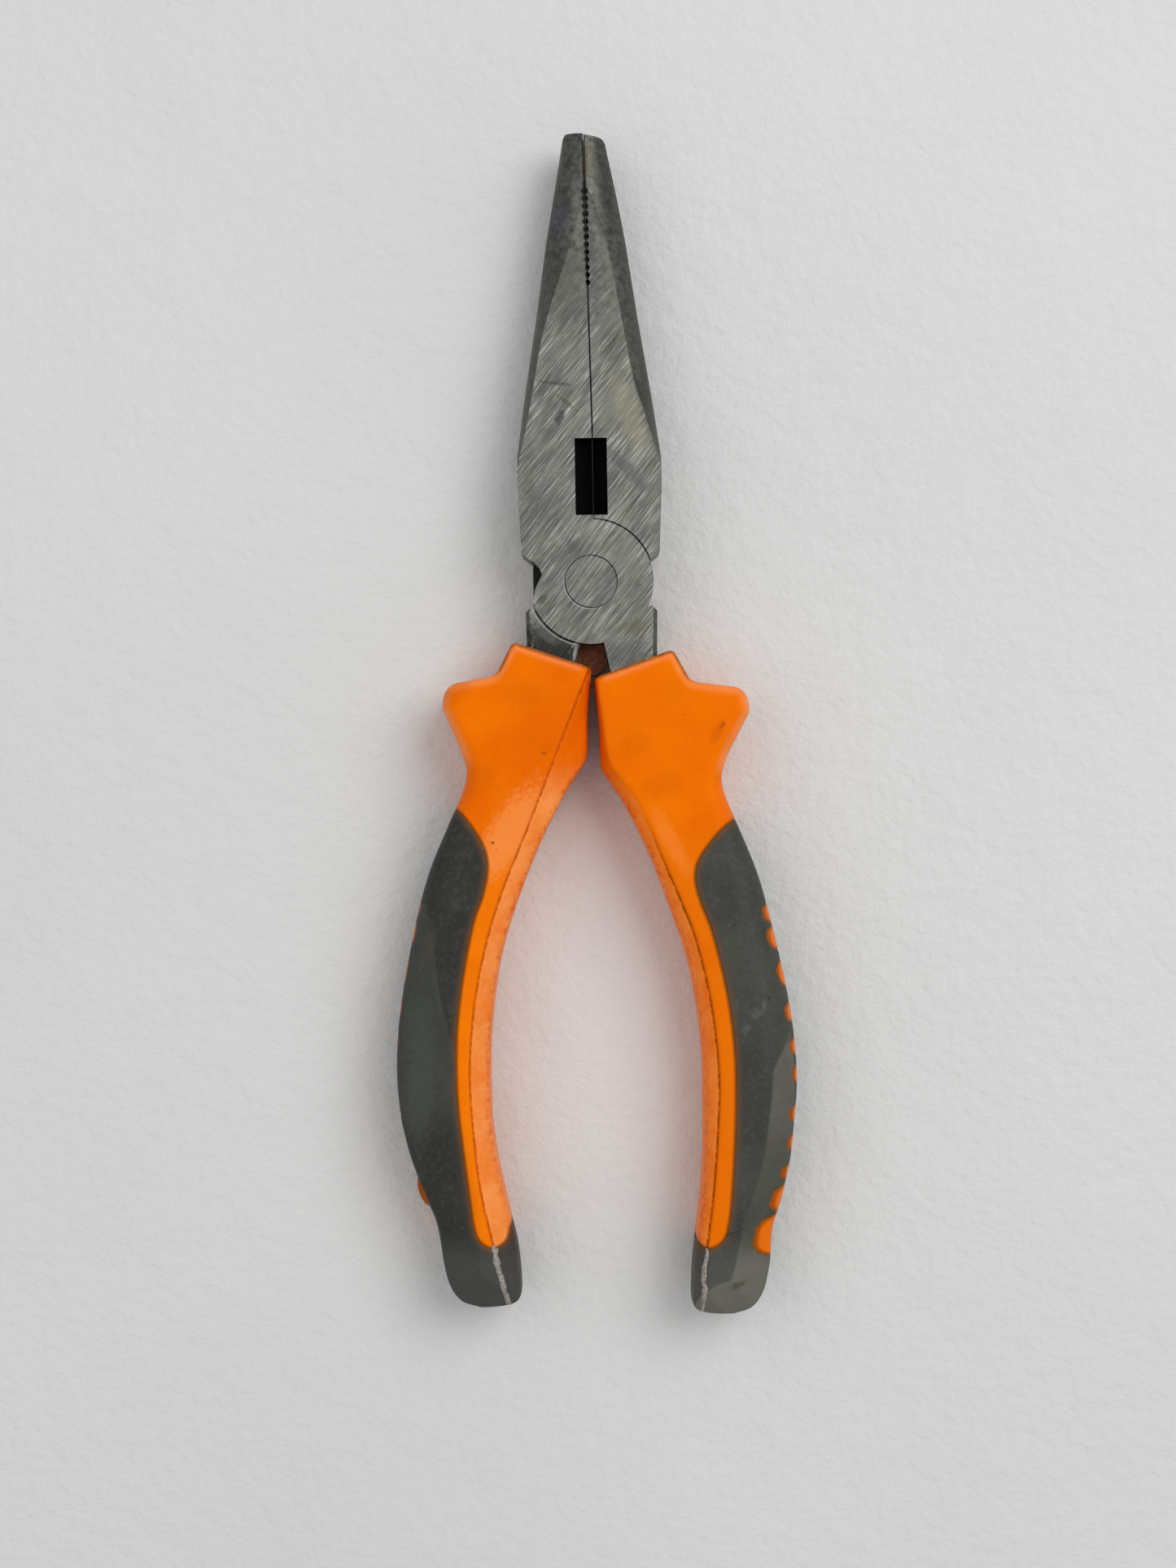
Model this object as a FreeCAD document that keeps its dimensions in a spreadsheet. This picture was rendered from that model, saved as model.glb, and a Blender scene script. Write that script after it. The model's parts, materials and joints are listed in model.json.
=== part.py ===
import FreeCAD, Part
import os
import Sketcher

# Combination long nose pliers, drawn about the pivot: X across, Y towards the jaw tips, Z along the pivot.
# The two forgings are one shape turned half a turn about Y, so each is drawn by the same functions,
# with side = +1 or -1 for the side its handle lies on.  The last step moves everything into the frame
# whose origin is under the middle of the closed pliers, on the surface that the grips lie on.

SIZES = [
    ("head_half", 5.25, "half the thickness of the forged head"),
    ("lap_gap", 0.03, "from the mid plane to the lapped face of each disc"),
    ("jaw_gap", 0.06, "from the centre line to each jaw face"),
    ("disc_radius", 10.8, "pivot disc of each forging"),
    ("recess_radius", 10.95, "recess that the other forging's disc turns in"),
    ("rivet_radius", 3.5, "rivet shank"),
    ("rivet_head_radius", 4.5, "flush rivet head"),
    ("rivet_head_depth", 1.1, "depth of the countersink"),
    ("rivet_groove", 0.12, "chamfer round each countersink"),
    ("rivet_clearance", 0.04, "running clearance in the rear forging"),
    ("cutter_centre", 0.3, "how far right of the pivot the window over the wire cutter sits"),
    ("cutter_half", 2.78, "half width of that window"),
    ("cutter_low", 11.5, "pivot end of the window"),
    ("cutter_high", 24.8, "tip end of the window"),
    ("cutter_bevel", 3.2, "height of the bevel from the cutting edge to the wall"),
    ("jaw_line", 0.6, "how far right of the pivot the jaws meet, up to the bend"),
    ("jaw_line_bend", 26.0, "where the line between the jaws starts to lean left"),
    ("jaw_lean", 0.0155, "how much the line leans left for each millimetre"),
    ("front_tip_y", 77.75, "inner corner of the left tip"),
    ("rear_tip_y", 77.6, "inner corner of the right tip"),
    ("teeth_low", 51.0, "first jaw tooth"),
    ("tooth_pitch", 1.32, "from tooth to tooth"),
    ("tooth_fade", 0.05, "how much shallower each tooth is than the one below it, as a share of the depth"),
    ("front_tooth_depth", 0.16, "depth of the lowest tooth on the left jaw"),
    ("rear_tooth_depth", 0.5, "depth of the lowest tooth on the right jaw"),
    ("shank_bevel", 0.7, "bevel along the outer edges of a shank"),
    ("shank_bevel_from", 10.9, "only edges of a shank further out than this are bevelled"),
    ("tang_half", 4.0, "half the thickness of the tang inside a grip"),
    ("grip_half", 8.75, "half the thickness of a grip"),
    ("grip_rim", 1.3, "rounded rim of the finger guard"),
    ("round_cut", 0.29, "how far the middle of a rounding lies in from its corner, as a share of its radius"),
    ("skin", 1.5, "thickness of the soft outer layer"),
    ("bevel_depth", 4.2, "drop of the bevelled inner face of a grip"),
    ("sleeve_shift", 0.9, "how far one sleeve sits higher than the mean and the other lower"),
    ("window_lift", 2.2, "how far the roll lifts the right grip's windows and lowers the left's"),
    ("window_start", 23.0, "where the window plugs start, inside the firm sleeve"),
    ("window_length", 17.5, "length of the window plugs, ending outside the grip"),
    ("soft_zone_height", 35.0, "height of the soft layer's region, taller than a grip"),
    ("sleeve_roll", 0.75, "how far both sleeves' top features are rolled to the left"),
    ("overrun", 1.0, "how far a cutting shape runs past the surface that it cuts"),
    ("pivot_to_centre", 24.75, "from the middle of the length to the pivot"),
]

TEETH = 13
TOLERANCE = 1e-3
SHORTEST_BEVEL = 2.0

# Outlines are (x, y) points on the +X side, walked from the pivot end.
JAW_SIDE = [(10.3, 3.7), (11.94, 5.0), (12.48, 16.3), (12.48, 22.0), (11.32, 30.5), (9.06, 44.6), (7.0, 58.8)]
FRONT_TIP = [(5.6, 66.6), (3.75, 77.4), (3.3, 78.0)]
REAR_TIP = [(5.6, 66.6), (3.6, 76.4), (3.1, 77.0), (2.4, 77.2)]
SHANK_SIDE = [(10.4, -4.2), (11.4, -5.2), (11.1, -18.5)]
SHANK_FORK = [(3.7, -18.5), (2.8, -14.0), (1.9, -9.8)]
STOP = [(2.9, -9.8), (-1.75, -9.8), (-2.6, -14.0), (-1.6, -15.5), (0.0, -16.2), (2.9, -16.2)]
TANG_OUTER = [(10.6, -13.0), (14.6, -30.0), (20.1, -42.0), (26.0, -58.0), (29.4, -74.0), (30.0, -90.0),
              (27.3, -106.0), (25.2, -112.0)]
TANG_INNER = [(19.6, -112.0), (21.2, -106.0), (23.4, -90.0), (22.2, -74.0), (18.4, -58.0), (12.1, -42.0),
              (6.1, -30.0), (3.0, -13.0)]
NECK_FLAT = [(13.0, 3.65), (10.1, 3.65), (10.1, -4.15), (13.0, -4.15)]
NOTCH = [(12.5, 3.6), (9.95, 3.6), (8.9, 2.45), (8.45, 1.35), (9.7, -1.2), (10.25, -4.2), (12.5, -4.2)]
GUARD = [(0.2, -15.9), (13.7, -11.3), (15.2, -13.6), (17.4, -16.6), (24.6, -17.8), (26.1, -19.2), (26.8, -21.5),
         (26.0, -24.0), (22.8, -30.0), (22.0, -34.0), (3.2, -34.0), (1.0, -31.0), (0.9, -24.0)]
GUARD_JOINED_CORNER = 9

# Each jaw is ground to its own nose form, a row of ellipses: (y, half width, half height).
FRONT_NOSE = [(78.0, 3.85, 4.0), (69.0, 5.35, 5.15), (58.8, 7.1, 5.6), (50.0, 8.35, 7.0), (40.4, 9.95, 9.4),
              (31.0, 11.4, 10.8), (23.0, 12.6, 14.0), (10.0, 16.0, 24.0), (-2.0, 20.0, 36.0)]
REAR_NOSE = [(78.0, 3.85, 4.0), (69.0, 5.35, 5.15), (58.8, 7.1, 6.0), (50.0, 8.35, 6.7), (41.0, 9.85, 7.2),
             (31.0, 11.4, 8.7), (23.0, 12.6, 13.0), (10.0, 16.0, 24.0), (-2.0, 20.0, 36.0)]

# Grip stations: (y, inner x, outer x, half thickness, outer rounding, width of the inner bevel).
GRIP = [(-28.0, 1.0, 23.8, 8.75, 1.5, 3.0), (-34.0, 2.7, 22.0, 8.75, 2.2, 4.2),
        (-42.0, 7.3, 24.95, 8.75, 3.6, 3.6), (-54.0, 12.5, 29.4, 8.75, 5.0, 3.2),
        (-66.0, 16.3, 32.5, 8.75, 5.5, 2.8),
        (-78.0, 18.1, 34.6, 8.75, 5.8, 3.0), (-90.0, 18.4, 34.95, 8.75, 6.0, 3.0),
        (-102.0, 17.75, 32.4, 8.7, 5.8, 3.0), (-112.0, 15.8, 29.1, 8.6, 5.2, 2.8),
        (-119.0, 15.05, 28.0, 8.4, 4.8, 2.4), (-123.6, 14.8, 26.2, 8.0, 4.4, 2.2),
        (-125.6, 15.6, 24.2, 7.2, 3.6, 1.9), (-126.4, 17.2, 22.2, 6.0, 2.2, 1.2)]
CORE_STATIONS = 10

# Where the soft layer meets the firm sleeve on the top face, from the outer edge round to the tail.
SOFT_EDGE = [(26.5, -38.8), (24.3, -40.0), (21.6, -42.4), (18.4, -46.9), (17.7, -50.5), (18.6, -54.8),
             (20.5, -60.0), (22.8, -70.0), (24.0, -80.0), (24.05, -91.0), (22.8, -106.0), (21.2, -112.4),
             (18.9, -114.9), (16.5, -113.8), (14.0, -109.5)]
SOFT_LOOP = [(8.0, -110.0), (8.0, -132.0), (40.0, -132.0), (40.0, -38.8)]

# Oval windows in the soft layer along the outer spine: (y, half length, half height).
WINDOWS = [(-57.0, 1.5, 4.6), (-61.2, 2.0, 4.9), (-67.4, 2.2, 4.1), (-74.2, 1.6, 3.9), (-80.1, 1.4, 3.7),
           (-84.9, 1.4, 3.3), (-91.6, 1.5, 3.5), (-96.6, 1.4, 3.4), (-101.7, 1.3, 3.5), (-107.3, 1.6, 3.8),
           (-113.4, 3.4, 5.4)]


def write_sheet(doc):
    """Driving dimensions, one cell each, with the outlines below them."""
    sheet = doc.addObject("Spreadsheet::Sheet", "dims")
    rows = [(name, value) for name, value, note in SIZES]
    for name, points in (("jaw", JAW_SIDE), ("fronttip", FRONT_TIP), ("reartip", REAR_TIP),
                         ("shank", SHANK_SIDE), ("fork", SHANK_FORK), ("stop", STOP),
                         ("tangout", TANG_OUTER), ("tangin", TANG_INNER), ("neck", NECK_FLAT),
                         ("notch", NOTCH), ("guard", GUARD)):
        for index, (x, y) in enumerate(points):
            rows.append((f"{name}_x_{index}", x))
            rows.append((f"{name}_y_{index}", y))
    for name, ellipses in (("front_nose", FRONT_NOSE), ("rear_nose", REAR_NOSE)):
        for index, (y, wide, high) in enumerate(ellipses):
            rows += [(f"{name}_y_{index}", y), (f"{name}_wide_{index}", wide), (f"{name}_high_{index}", high)]
    for index, (y, half_length, half_height) in enumerate(WINDOWS):
        rows += [(f"window_y_{index}", y), (f"window_long_{index}", half_length),
                 (f"window_high_{index}", half_height)]
    for index, (y, inner, outer, half, rounding, bevel) in enumerate(GRIP):
        rows += [(f"grip_y_{index}", y), (f"grip_inner_{index}", inner), (f"grip_outer_{index}", outer)]
        rows += [(f"grip_half_{index}", half), (f"grip_round_{index}", rounding), (f"grip_bevel_{index}", bevel)]
    for row, (name, value) in enumerate(rows, start=1):
        sheet.set(f"A{row}", str(value))
        sheet.setAlias(f"A{row}", name)
    doc.recompute()
    return sheet


def named(outline, count):
    """The sheet's cells for the points of an outline."""
    return [(f"dims.{outline}_x_{i}", f"dims.{outline}_y_{i}") for i in range(count)]


def mirrored(points, side):
    """The same points on the side that the handle lies on."""
    return [(f"{side} * ({x})", y) for x, y in points]


def new_body(doc, name):
    return doc.addObject("PartDesign::Body", name)


def new_sketch(body, name, role="XY_Plane", lift=None):
    """A sketch on one of the body's own planes, lifted along the plane's normal."""
    sketch = body.newObject("Sketcher::SketchObject", name)
    plane = [item for item in body.Origin.OriginFeatures if item.Role == role][0]
    sketch.AttachmentSupport = [(plane, "")]
    sketch.MapMode = "FlatFace"
    if lift is not None:
        sketch.setExpression("AttachmentOffset.Base.z", lift)
    return sketch


def draw_outline(sketch, points):
    """A closed outline of straight lines, each corner bound to the sheet."""
    corners = [FreeCAD.Vector(*[float(sketch.evalExpression(part)) for part in point], 0) for point in points]
    count = len(corners)
    for index, corner in enumerate(corners):
        sketch.addGeometry(Part.LineSegment(corner, corners[(index + 1) % count]))
    for index in range(count):
        sketch.addConstraint(Sketcher.Constraint("Coincident", index, 2, (index + 1) % count, 1))
    for index, point in enumerate(points):
        for kind, value, expression in (("DistanceX", corners[index].x, point[0]),
                                        ("DistanceY", corners[index].y, point[1])):
            number = sketch.addConstraint(Sketcher.Constraint(kind, -1, 1, index, 1, value))
            sketch.setExpression(f"Constraints[{number}]", expression)


def add_pad(body, sketch, length, both_ways=True):
    pad = body.newObject("PartDesign::Pad", sketch.Name + "_pad")
    pad.Profile = sketch
    pad.setExpression("Length", length)
    pad.SideType = "Symmetric" if both_ways else "One side"
    return pad


def plate(doc, name, points, thickness):
    """A flat plate with the given outline, centred on the mid plane."""
    body = new_body(doc, name)
    sketch = new_sketch(body, name + "_outline")
    draw_outline(sketch, points)
    add_pad(body, sketch, thickness)
    return body


def boolean(doc, kind, name, base, tool):
    result = doc.addObject("Part::" + kind, name)
    result.Base = base
    result.Tool = tool
    return result


def fuse(doc, name, shapes):
    result = doc.addObject("Part::MultiFuse", name)
    result.Shapes = shapes
    return result


def half_disc(doc, name, radius, layer, bottom, top):
    """A disc about the pivot in the front (+1) or rear (-1) layer."""
    disc = doc.addObject("Part::Cylinder", name)
    disc.setExpression("Radius", radius)
    disc.setExpression("Height", f"{top} - ({bottom})")
    low = bottom if layer > 0 else f"-({top})"
    disc.setExpression("Placement.Base.z", low)
    return disc


def ellipse_at(sketch, centre, wide, high):
    """An upright or lying ellipse, bound to the sheet."""
    middle = FreeCAD.Vector(*[sketch.evalExpression(part) for part in centre], 0)
    across = FreeCAD.Vector(sketch.evalExpression(wide), 0, 0)
    up = FreeCAD.Vector(0, sketch.evalExpression(high), 0)
    ends = (middle + across, middle + up) if across.Length >= up.Length else (middle + up, middle - across)
    number = sketch.addGeometry(Part.Ellipse(*ends, middle))
    for kind, value, expression in (("DistanceX", middle.x, centre[0]), ("DistanceY", middle.y, centre[1])):
        constraint = sketch.addConstraint(Sketcher.Constraint(kind, -1, 1, number, 3, value))
        sketch.setExpression(f"Constraints[{constraint}]", expression)


def nose_form(doc, name, count):
    """The rounded form that a jaw is ground to: ellipses lofted towards the tip."""
    body = new_body(doc, name)
    sections = []
    for index in range(count):
        section = new_sketch(body, f"{name}_ellipse_{index}", "XZ_Plane", f"-dims.{name}_y_{index}")
        ellipse_at(section, ("0", "0"), f"dims.{name}_wide_{index}", f"dims.{name}_high_{index}")
        sections.append(section)
    loft = body.newObject("PartDesign::AdditiveLoft", name + "_loft")
    loft.Profile = sections[0]
    loft.Sections = sections[1:]
    return body


def jaw_face(side, y, depth="0"):
    """A point of a jaw's inner face, on the line where the jaws meet, cut back by a depth."""
    line = f"dims.jaw_line - dims.jaw_lean * max({y} - dims.jaw_line_bend; 0)"
    return f"dims.jaw_gap + {depth} + {side} * ({line})", y


def toothed_face(side, tip_y, depth):
    """The jaw face from tip to pivot: smooth, then teeth, then smooth again."""
    points = [jaw_face(side, tip_y)]
    for tooth in range(TEETH, 0, -1):
        points.append(jaw_face(side, f"(dims.teeth_low + {tooth} * dims.tooth_pitch)"))
        shallower = f"{depth} * (1 - {tooth - 1} * dims.tooth_fade)"
        points.append(jaw_face(side, f"(dims.teeth_low + {tooth - 0.5} * dims.tooth_pitch)", shallower))
    points.append(jaw_face(side, "dims.teeth_low"))
    points.append(jaw_face(side, "dims.jaw_line_bend"))
    points.append(jaw_face(side, "dims.jaw_y_0"))
    return points


def rivet_form(doc, name, clearance, grooved):
    """The rivet's shank and two flush heads, grown by a clearance and grooved round the heads for a bore."""
    shank = doc.addObject("Part::Cylinder", name + "_shank")
    shank.setExpression("Radius", f"dims.rivet_radius + {clearance}")
    shank.setExpression("Height", "2 * dims.head_half")
    shank.setExpression("Placement.Base.z", "-dims.head_half")
    pieces = [shank]
    for label, layer in (("front", 1), ("rear", -1)):
        sink = doc.addObject("Part::Cone", f"{name}_{label}_sink")
        small = f"dims.rivet_radius + {clearance}"
        large = f"dims.rivet_head_radius + {clearance}"
        sink.setExpression("Radius1", small if layer > 0 else large)
        sink.setExpression("Radius2", large if layer > 0 else small)
        sink.setExpression("Height", "dims.rivet_head_depth")
        low = "dims.head_half - dims.rivet_head_depth" if layer > 0 else "-dims.head_half"
        sink.setExpression("Placement.Base.z", low)
        pieces.append(sink)
        if grooved:
            groove = doc.addObject("Part::Cone", f"{name}_{label}_groove")
            wide = "dims.rivet_head_radius + dims.rivet_groove"
            groove.setExpression("Radius1", "dims.rivet_head_radius" if layer > 0 else wide)
            groove.setExpression("Radius2", wide if layer > 0 else "dims.rivet_head_radius")
            groove.setExpression("Height", "dims.rivet_groove")
            low = "dims.head_half - dims.rivet_groove" if layer > 0 else "-dims.head_half"
            groove.setExpression("Placement.Base.z", low)
            pieces.append(groove)
    return fuse(doc, name, pieces)


def cutter_window(doc, name):
    """The hourglass cut that leaves both cutting edges on the mid plane."""
    body = new_body(doc, name)
    sketch = new_sketch(body, name + "_section", "XZ_Plane", "-dims.cutter_high")
    outline = []
    for side, rising in ((1, False), (-1, True)):
        wall_x = f"dims.cutter_centre + {side} * dims.cutter_half"
        upper = [(wall_x, "dims.head_half + dims.overrun"), (wall_x, "dims.cutter_bevel")]
        lower = [(x, f"-({z})") for x, z in reversed(upper)]
        walk = upper + [(f"dims.jaw_line + {side} * dims.jaw_gap", "0")] + lower
        outline += reversed(walk) if rising else walk
    draw_outline(sketch, outline)
    add_pad(body, sketch, "dims.cutter_high - dims.cutter_low", both_ways=False)
    return body


def bevel_outer_edges(doc, body):
    """Bevels the long outer edges of a shank's plate."""
    doc.recompute()
    plate_pad = body.Tip
    reach = doc.getObject("dims").get("shank_bevel_from")
    edges = []
    for number, edge in enumerate(plate_pad.Shape.Edges, start=1):
        box = edge.BoundBox
        outside = min(abs(box.XMin), abs(box.XMax)) > reach
        if box.ZLength < TOLERANCE and outside and box.YLength > SHORTEST_BEVEL:
            edges.append(f"Edge{number}")
    bevel = body.newObject("PartDesign::Chamfer", body.Name + "_bevel")
    bevel.Base = (plate_pad, edges)
    bevel.setExpression("Size", "dims.shank_bevel")


def stop_web(doc, name, side):
    """The shoulder in the rear layer that fills the fork between the two shanks."""
    web = plate(doc, name + "_stop", mirrored(named("stop", len(STOP)), side), "2 * dims.head_half")
    rear_layer = half_disc(doc, name + "_stop_layer", "2 * dims.disc_radius", -1, "0", "dims.head_half")
    return boolean(doc, "Common", name + "_stop_web", web, rear_layer)


def lever(doc, name, side, tip, tip_points, nose, cutters, clearance):
    """One forging: jaw on the far side from its handle, half disc at the pivot, shank and tang."""
    layer = side
    outline = named("jaw", len(JAW_SIDE)) + named(tip + "tip", tip_points)
    outline += toothed_face(-side, f"dims.{tip}_tip_y", f"dims.{tip}_tooth_depth")
    jaw = plate(doc, name + "_jaw", mirrored(outline, -side), "2 * dims.head_half")
    ground = boolean(doc, "Common", name + "_ground_jaw", jaw, nose)
    shank_points = named("shank", len(SHANK_SIDE)) + named("fork", len(SHANK_FORK))
    shank = plate(doc, name + "_shank", mirrored(shank_points, side), "2 * dims.head_half")
    bevel_outer_edges(doc, shank)
    tang_points = named("tangout", len(TANG_OUTER)) + named("tangin", len(TANG_INNER))
    tang = plate(doc, name + "_tang", mirrored(tang_points, side), "2 * dims.tang_half")
    pieces = [ground, shank, tang]
    if layer < 0:
        pieces.append(stop_web(doc, name, side))
    blank = fuse(doc, name + "_blank", pieces)
    recess = half_disc(doc, name + "_recess", "dims.recess_radius", -layer, "-dims.lap_gap",
                       "dims.head_half + dims.overrun")
    disc = half_disc(doc, name + "_disc", "dims.disc_radius", layer, "dims.lap_gap", "dims.head_half")
    notch = plate(doc, name + "_notch", mirrored(named("notch", len(NOTCH)), -side), "2 * dims.head_half")
    notch_layer = half_disc(doc, name + "_notch_layer", "2 * dims.disc_radius", layer, "0",
                            "dims.head_half + dims.overrun")
    notch_cut = boolean(doc, "Common", name + "_notch_cut", notch, notch_layer)
    recessed = boolean(doc, "Cut", name + "_recessed", blank, recess)
    whole = fuse(doc, name + "_whole", [recessed, disc])
    bore = rivet_form(doc, name + "_bore", clearance, True)
    cuts = fuse(doc, name + "_cuts", [bore, notch_cut] + cutters)
    return boolean(doc, "Cut", name, whole, cuts), whole


def grip_section(body, name, index, side, inset):
    """One station of a grip: bevelled towards the other handle and rounded on the outside."""
    section = new_sketch(body, f"{name}_{index}", "XZ_Plane", f"-dims.grip_y_{index}")
    inner = f"dims.grip_inner_{index} + {inset}"
    outer = f"dims.grip_outer_{index} - {inset}"
    rounding = f"dims.grip_round_{index}"
    half = f"dims.grip_half_{index} - {inset}"
    upper = [(f"{outer}", f"{half} - {rounding}"),
             (f"{outer} - dims.round_cut * {rounding}", f"{half} - dims.round_cut * {rounding}"),
             (f"{outer} - {rounding}", f"{half}"),
             (f"{inner} + dims.grip_bevel_{index}", f"{half}"),
             (f"{inner}", f"{half} - dims.bevel_depth")]
    lower = [(x, f"-({z})") for x, z in reversed(upper)]
    draw_outline(section, mirrored(upper + lower, side))
    return section


def grip_form(doc, name, side, inset, stations):
    """The long part of a grip, lofted through its stations."""
    body = new_body(doc, name)
    sections = [grip_section(body, name, index, side, inset) for index in range(stations)]
    loft = body.newObject("PartDesign::AdditiveLoft", name + "_loft")
    loft.Profile = sections[0]
    loft.Sections = sections[1:]
    return body


def guard_block(doc, name, side):
    """The finger guard: a flat block with a rounded rim, open towards the long part of the grip."""
    body = new_body(doc, name)
    sketch = new_sketch(body, name + "_outline")
    draw_outline(sketch, mirrored(named("guard", len(GUARD)), side))
    pad = add_pad(body, sketch, "2 * dims.grip_half")
    doc.recompute()
    half = sketch.evalExpression("dims.grip_half")
    joined_end = sketch.evalExpression(f"dims.guard_y_{GUARD_JOINED_CORNER}")
    rim = []
    for number, edge in enumerate(pad.Shape.Edges, start=1):
        box = edge.BoundBox
        flat = box.ZLength < TOLERANCE and abs(abs(box.ZMin) - half) < TOLERANCE
        if flat and box.YMax > joined_end + TOLERANCE:
            rim.append(f"Edge{number}")
    rounded = body.newObject("PartDesign::Fillet", name + "_rim")
    rounded.Base = (pad, rim)
    rounded.setExpression("Radius", "dims.grip_rim")
    return body


def soft_zone(doc, name, side):
    """The region of the plan that the soft layer covers."""
    body = new_body(doc, name)
    sketch = new_sketch(body, name + "_outline")
    roll = sketch.evalExpression("dims.sleeve_roll")
    edge = [FreeCAD.Vector(side * x - roll, y, 0) for x, y in SOFT_EDGE]
    curve = Part.BSplineCurve()
    curve.interpolate(edge)
    sketch.addGeometry(curve)
    loop = [edge[-1]] + [FreeCAD.Vector(side * x, y, 0) for x, y in SOFT_LOOP] + [edge[0]]
    for start, end in zip(loop, loop[1:]):
        sketch.addGeometry(Part.LineSegment(start, end))
    add_pad(body, sketch, "dims.soft_zone_height")
    return body


def spine_windows(doc, name, side):
    """Oval plugs across the outer spine, where the firm sleeve shows through the soft layer."""
    body = new_body(doc, name)
    sketch = new_sketch(body, name + "_ovals", "YZ_Plane", f"{side} * dims.window_start")
    for index in range(len(WINDOWS)):
        centre = (f"dims.window_y_{index}", f"{side} * dims.window_lift")
        ellipse_at(sketch, centre, f"dims.window_long_{index}", f"dims.window_high_{index}")
    pad = add_pad(body, sketch, "dims.window_length", both_ways=False)
    pad.Reversed = side < 0
    return body


def grip(doc, name, side, forging):
    """The firm sleeve round a tang, and the soft layer moulded over its outer side and tail."""
    long_part = grip_form(doc, name + "_long", side, "0", len(GRIP))
    guard = guard_block(doc, name + "_guard", side)
    form = fuse(doc, name + "_form", [guard, long_part])
    core = grip_form(doc, name + "_core", side, "dims.skin", CORE_STATIONS)
    zone = soft_zone(doc, name + "_zone", side)
    windows = spine_windows(doc, name + "_windows", side)
    solid_parts = fuse(doc, name + "_firm", [core, windows])
    soft_space = boolean(doc, "Cut", name + "_soft_space", zone, solid_parts)
    firm = boolean(doc, "Cut", name + "_firm_form", form, soft_space)
    soft = boolean(doc, "Common", name + "_soft_form", form, soft_space)
    for piece in (firm, soft):
        piece.setExpression("Placement.Base.y", f"{-side} * dims.sleeve_shift")
    body = boolean(doc, "Cut", name + "_body", firm, forging)
    overmould = boolean(doc, "Cut", name + "_overmould", soft, forging)
    return body, overmould


def check_document(doc, nodes):
    """Stops before anything is written if a feature failed or a shape is not sound."""
    failed = [item.Name for item in doc.Objects if {"Invalid", "Error"} & set(item.State)]
    failed += [node.Label for node in nodes if node.Shape.isNull() or not node.Shape.isValid()]
    if failed:
        raise RuntimeError("not built: " + ", ".join(failed))


def main():
    doc = FreeCAD.newDocument("pliers")
    write_sheet(doc)
    neck_flat = plate(doc, "neck_flat", mirrored(named("neck", len(NECK_FLAT)), -1), "3 * dims.head_half")
    cutters = [cutter_window(doc, "cutter_window"), neck_flat]
    front_nose = nose_form(doc, "front_nose", len(FRONT_NOSE))
    rear_nose = nose_form(doc, "rear_nose", len(REAR_NOSE))
    play = "dims.rivet_clearance"
    front, front_whole = lever(doc, "front_lever", 1, "front", len(FRONT_TIP), front_nose, cutters, "0")
    rear, rear_whole = lever(doc, "rear_lever", -1, "rear", len(REAR_TIP), rear_nose, cutters, play)
    rivet = rivet_form(doc, "pivot_rivet", "0", False)
    nodes = [front, rear, rivet]
    nodes += grip(doc, "right_grip", 1, front_whole)
    nodes += grip(doc, "left_grip", -1, rear_whole)
    for node in nodes:
        node.setExpression("Placement.Base.y", "dims.pivot_to_centre")
        node.setExpression("Placement.Base.z", "dims.grip_half")
    doc.recompute()
    check_document(doc, nodes)
    os.makedirs("parts", exist_ok=True)
    for node in nodes:
        node.Shape.exportStep(f"parts/{node.Label}.step")
        print(node.Label, round(node.Shape.Volume, 1), node.Shape.optimalBoundingBox(), len(node.Shape.Solids))


main()
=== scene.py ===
import json
import math

import bpy
import numpy as np
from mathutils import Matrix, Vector


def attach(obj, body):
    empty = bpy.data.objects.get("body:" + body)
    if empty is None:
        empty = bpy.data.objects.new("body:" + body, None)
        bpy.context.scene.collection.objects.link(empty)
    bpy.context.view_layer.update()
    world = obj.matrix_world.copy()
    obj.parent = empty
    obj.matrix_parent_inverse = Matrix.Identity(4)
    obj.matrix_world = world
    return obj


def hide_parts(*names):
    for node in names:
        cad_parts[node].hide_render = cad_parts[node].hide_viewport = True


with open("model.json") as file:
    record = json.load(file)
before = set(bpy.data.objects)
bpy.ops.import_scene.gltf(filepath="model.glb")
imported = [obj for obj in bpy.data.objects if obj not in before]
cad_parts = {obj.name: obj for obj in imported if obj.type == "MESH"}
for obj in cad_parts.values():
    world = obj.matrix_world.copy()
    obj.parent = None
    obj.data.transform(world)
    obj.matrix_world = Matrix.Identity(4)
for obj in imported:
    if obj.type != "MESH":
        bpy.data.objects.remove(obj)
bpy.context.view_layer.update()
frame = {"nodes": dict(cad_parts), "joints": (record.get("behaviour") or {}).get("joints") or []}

MM = 0.001
PIVOT = Vector(frame["joints"][0]["pos_m"])
GRIP_HALF = 8.75
# The right grip sits this much below its outline, and the left one this much above.
SLEEVE_SHIFT = 0.9
# The spacing of the grid that the grips' skins are drawn from.
STEP = 0.36
SIDES = {"right": 1, "left": -1}
BODY_OF = {"right": "front", "left": "rear"}

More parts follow.
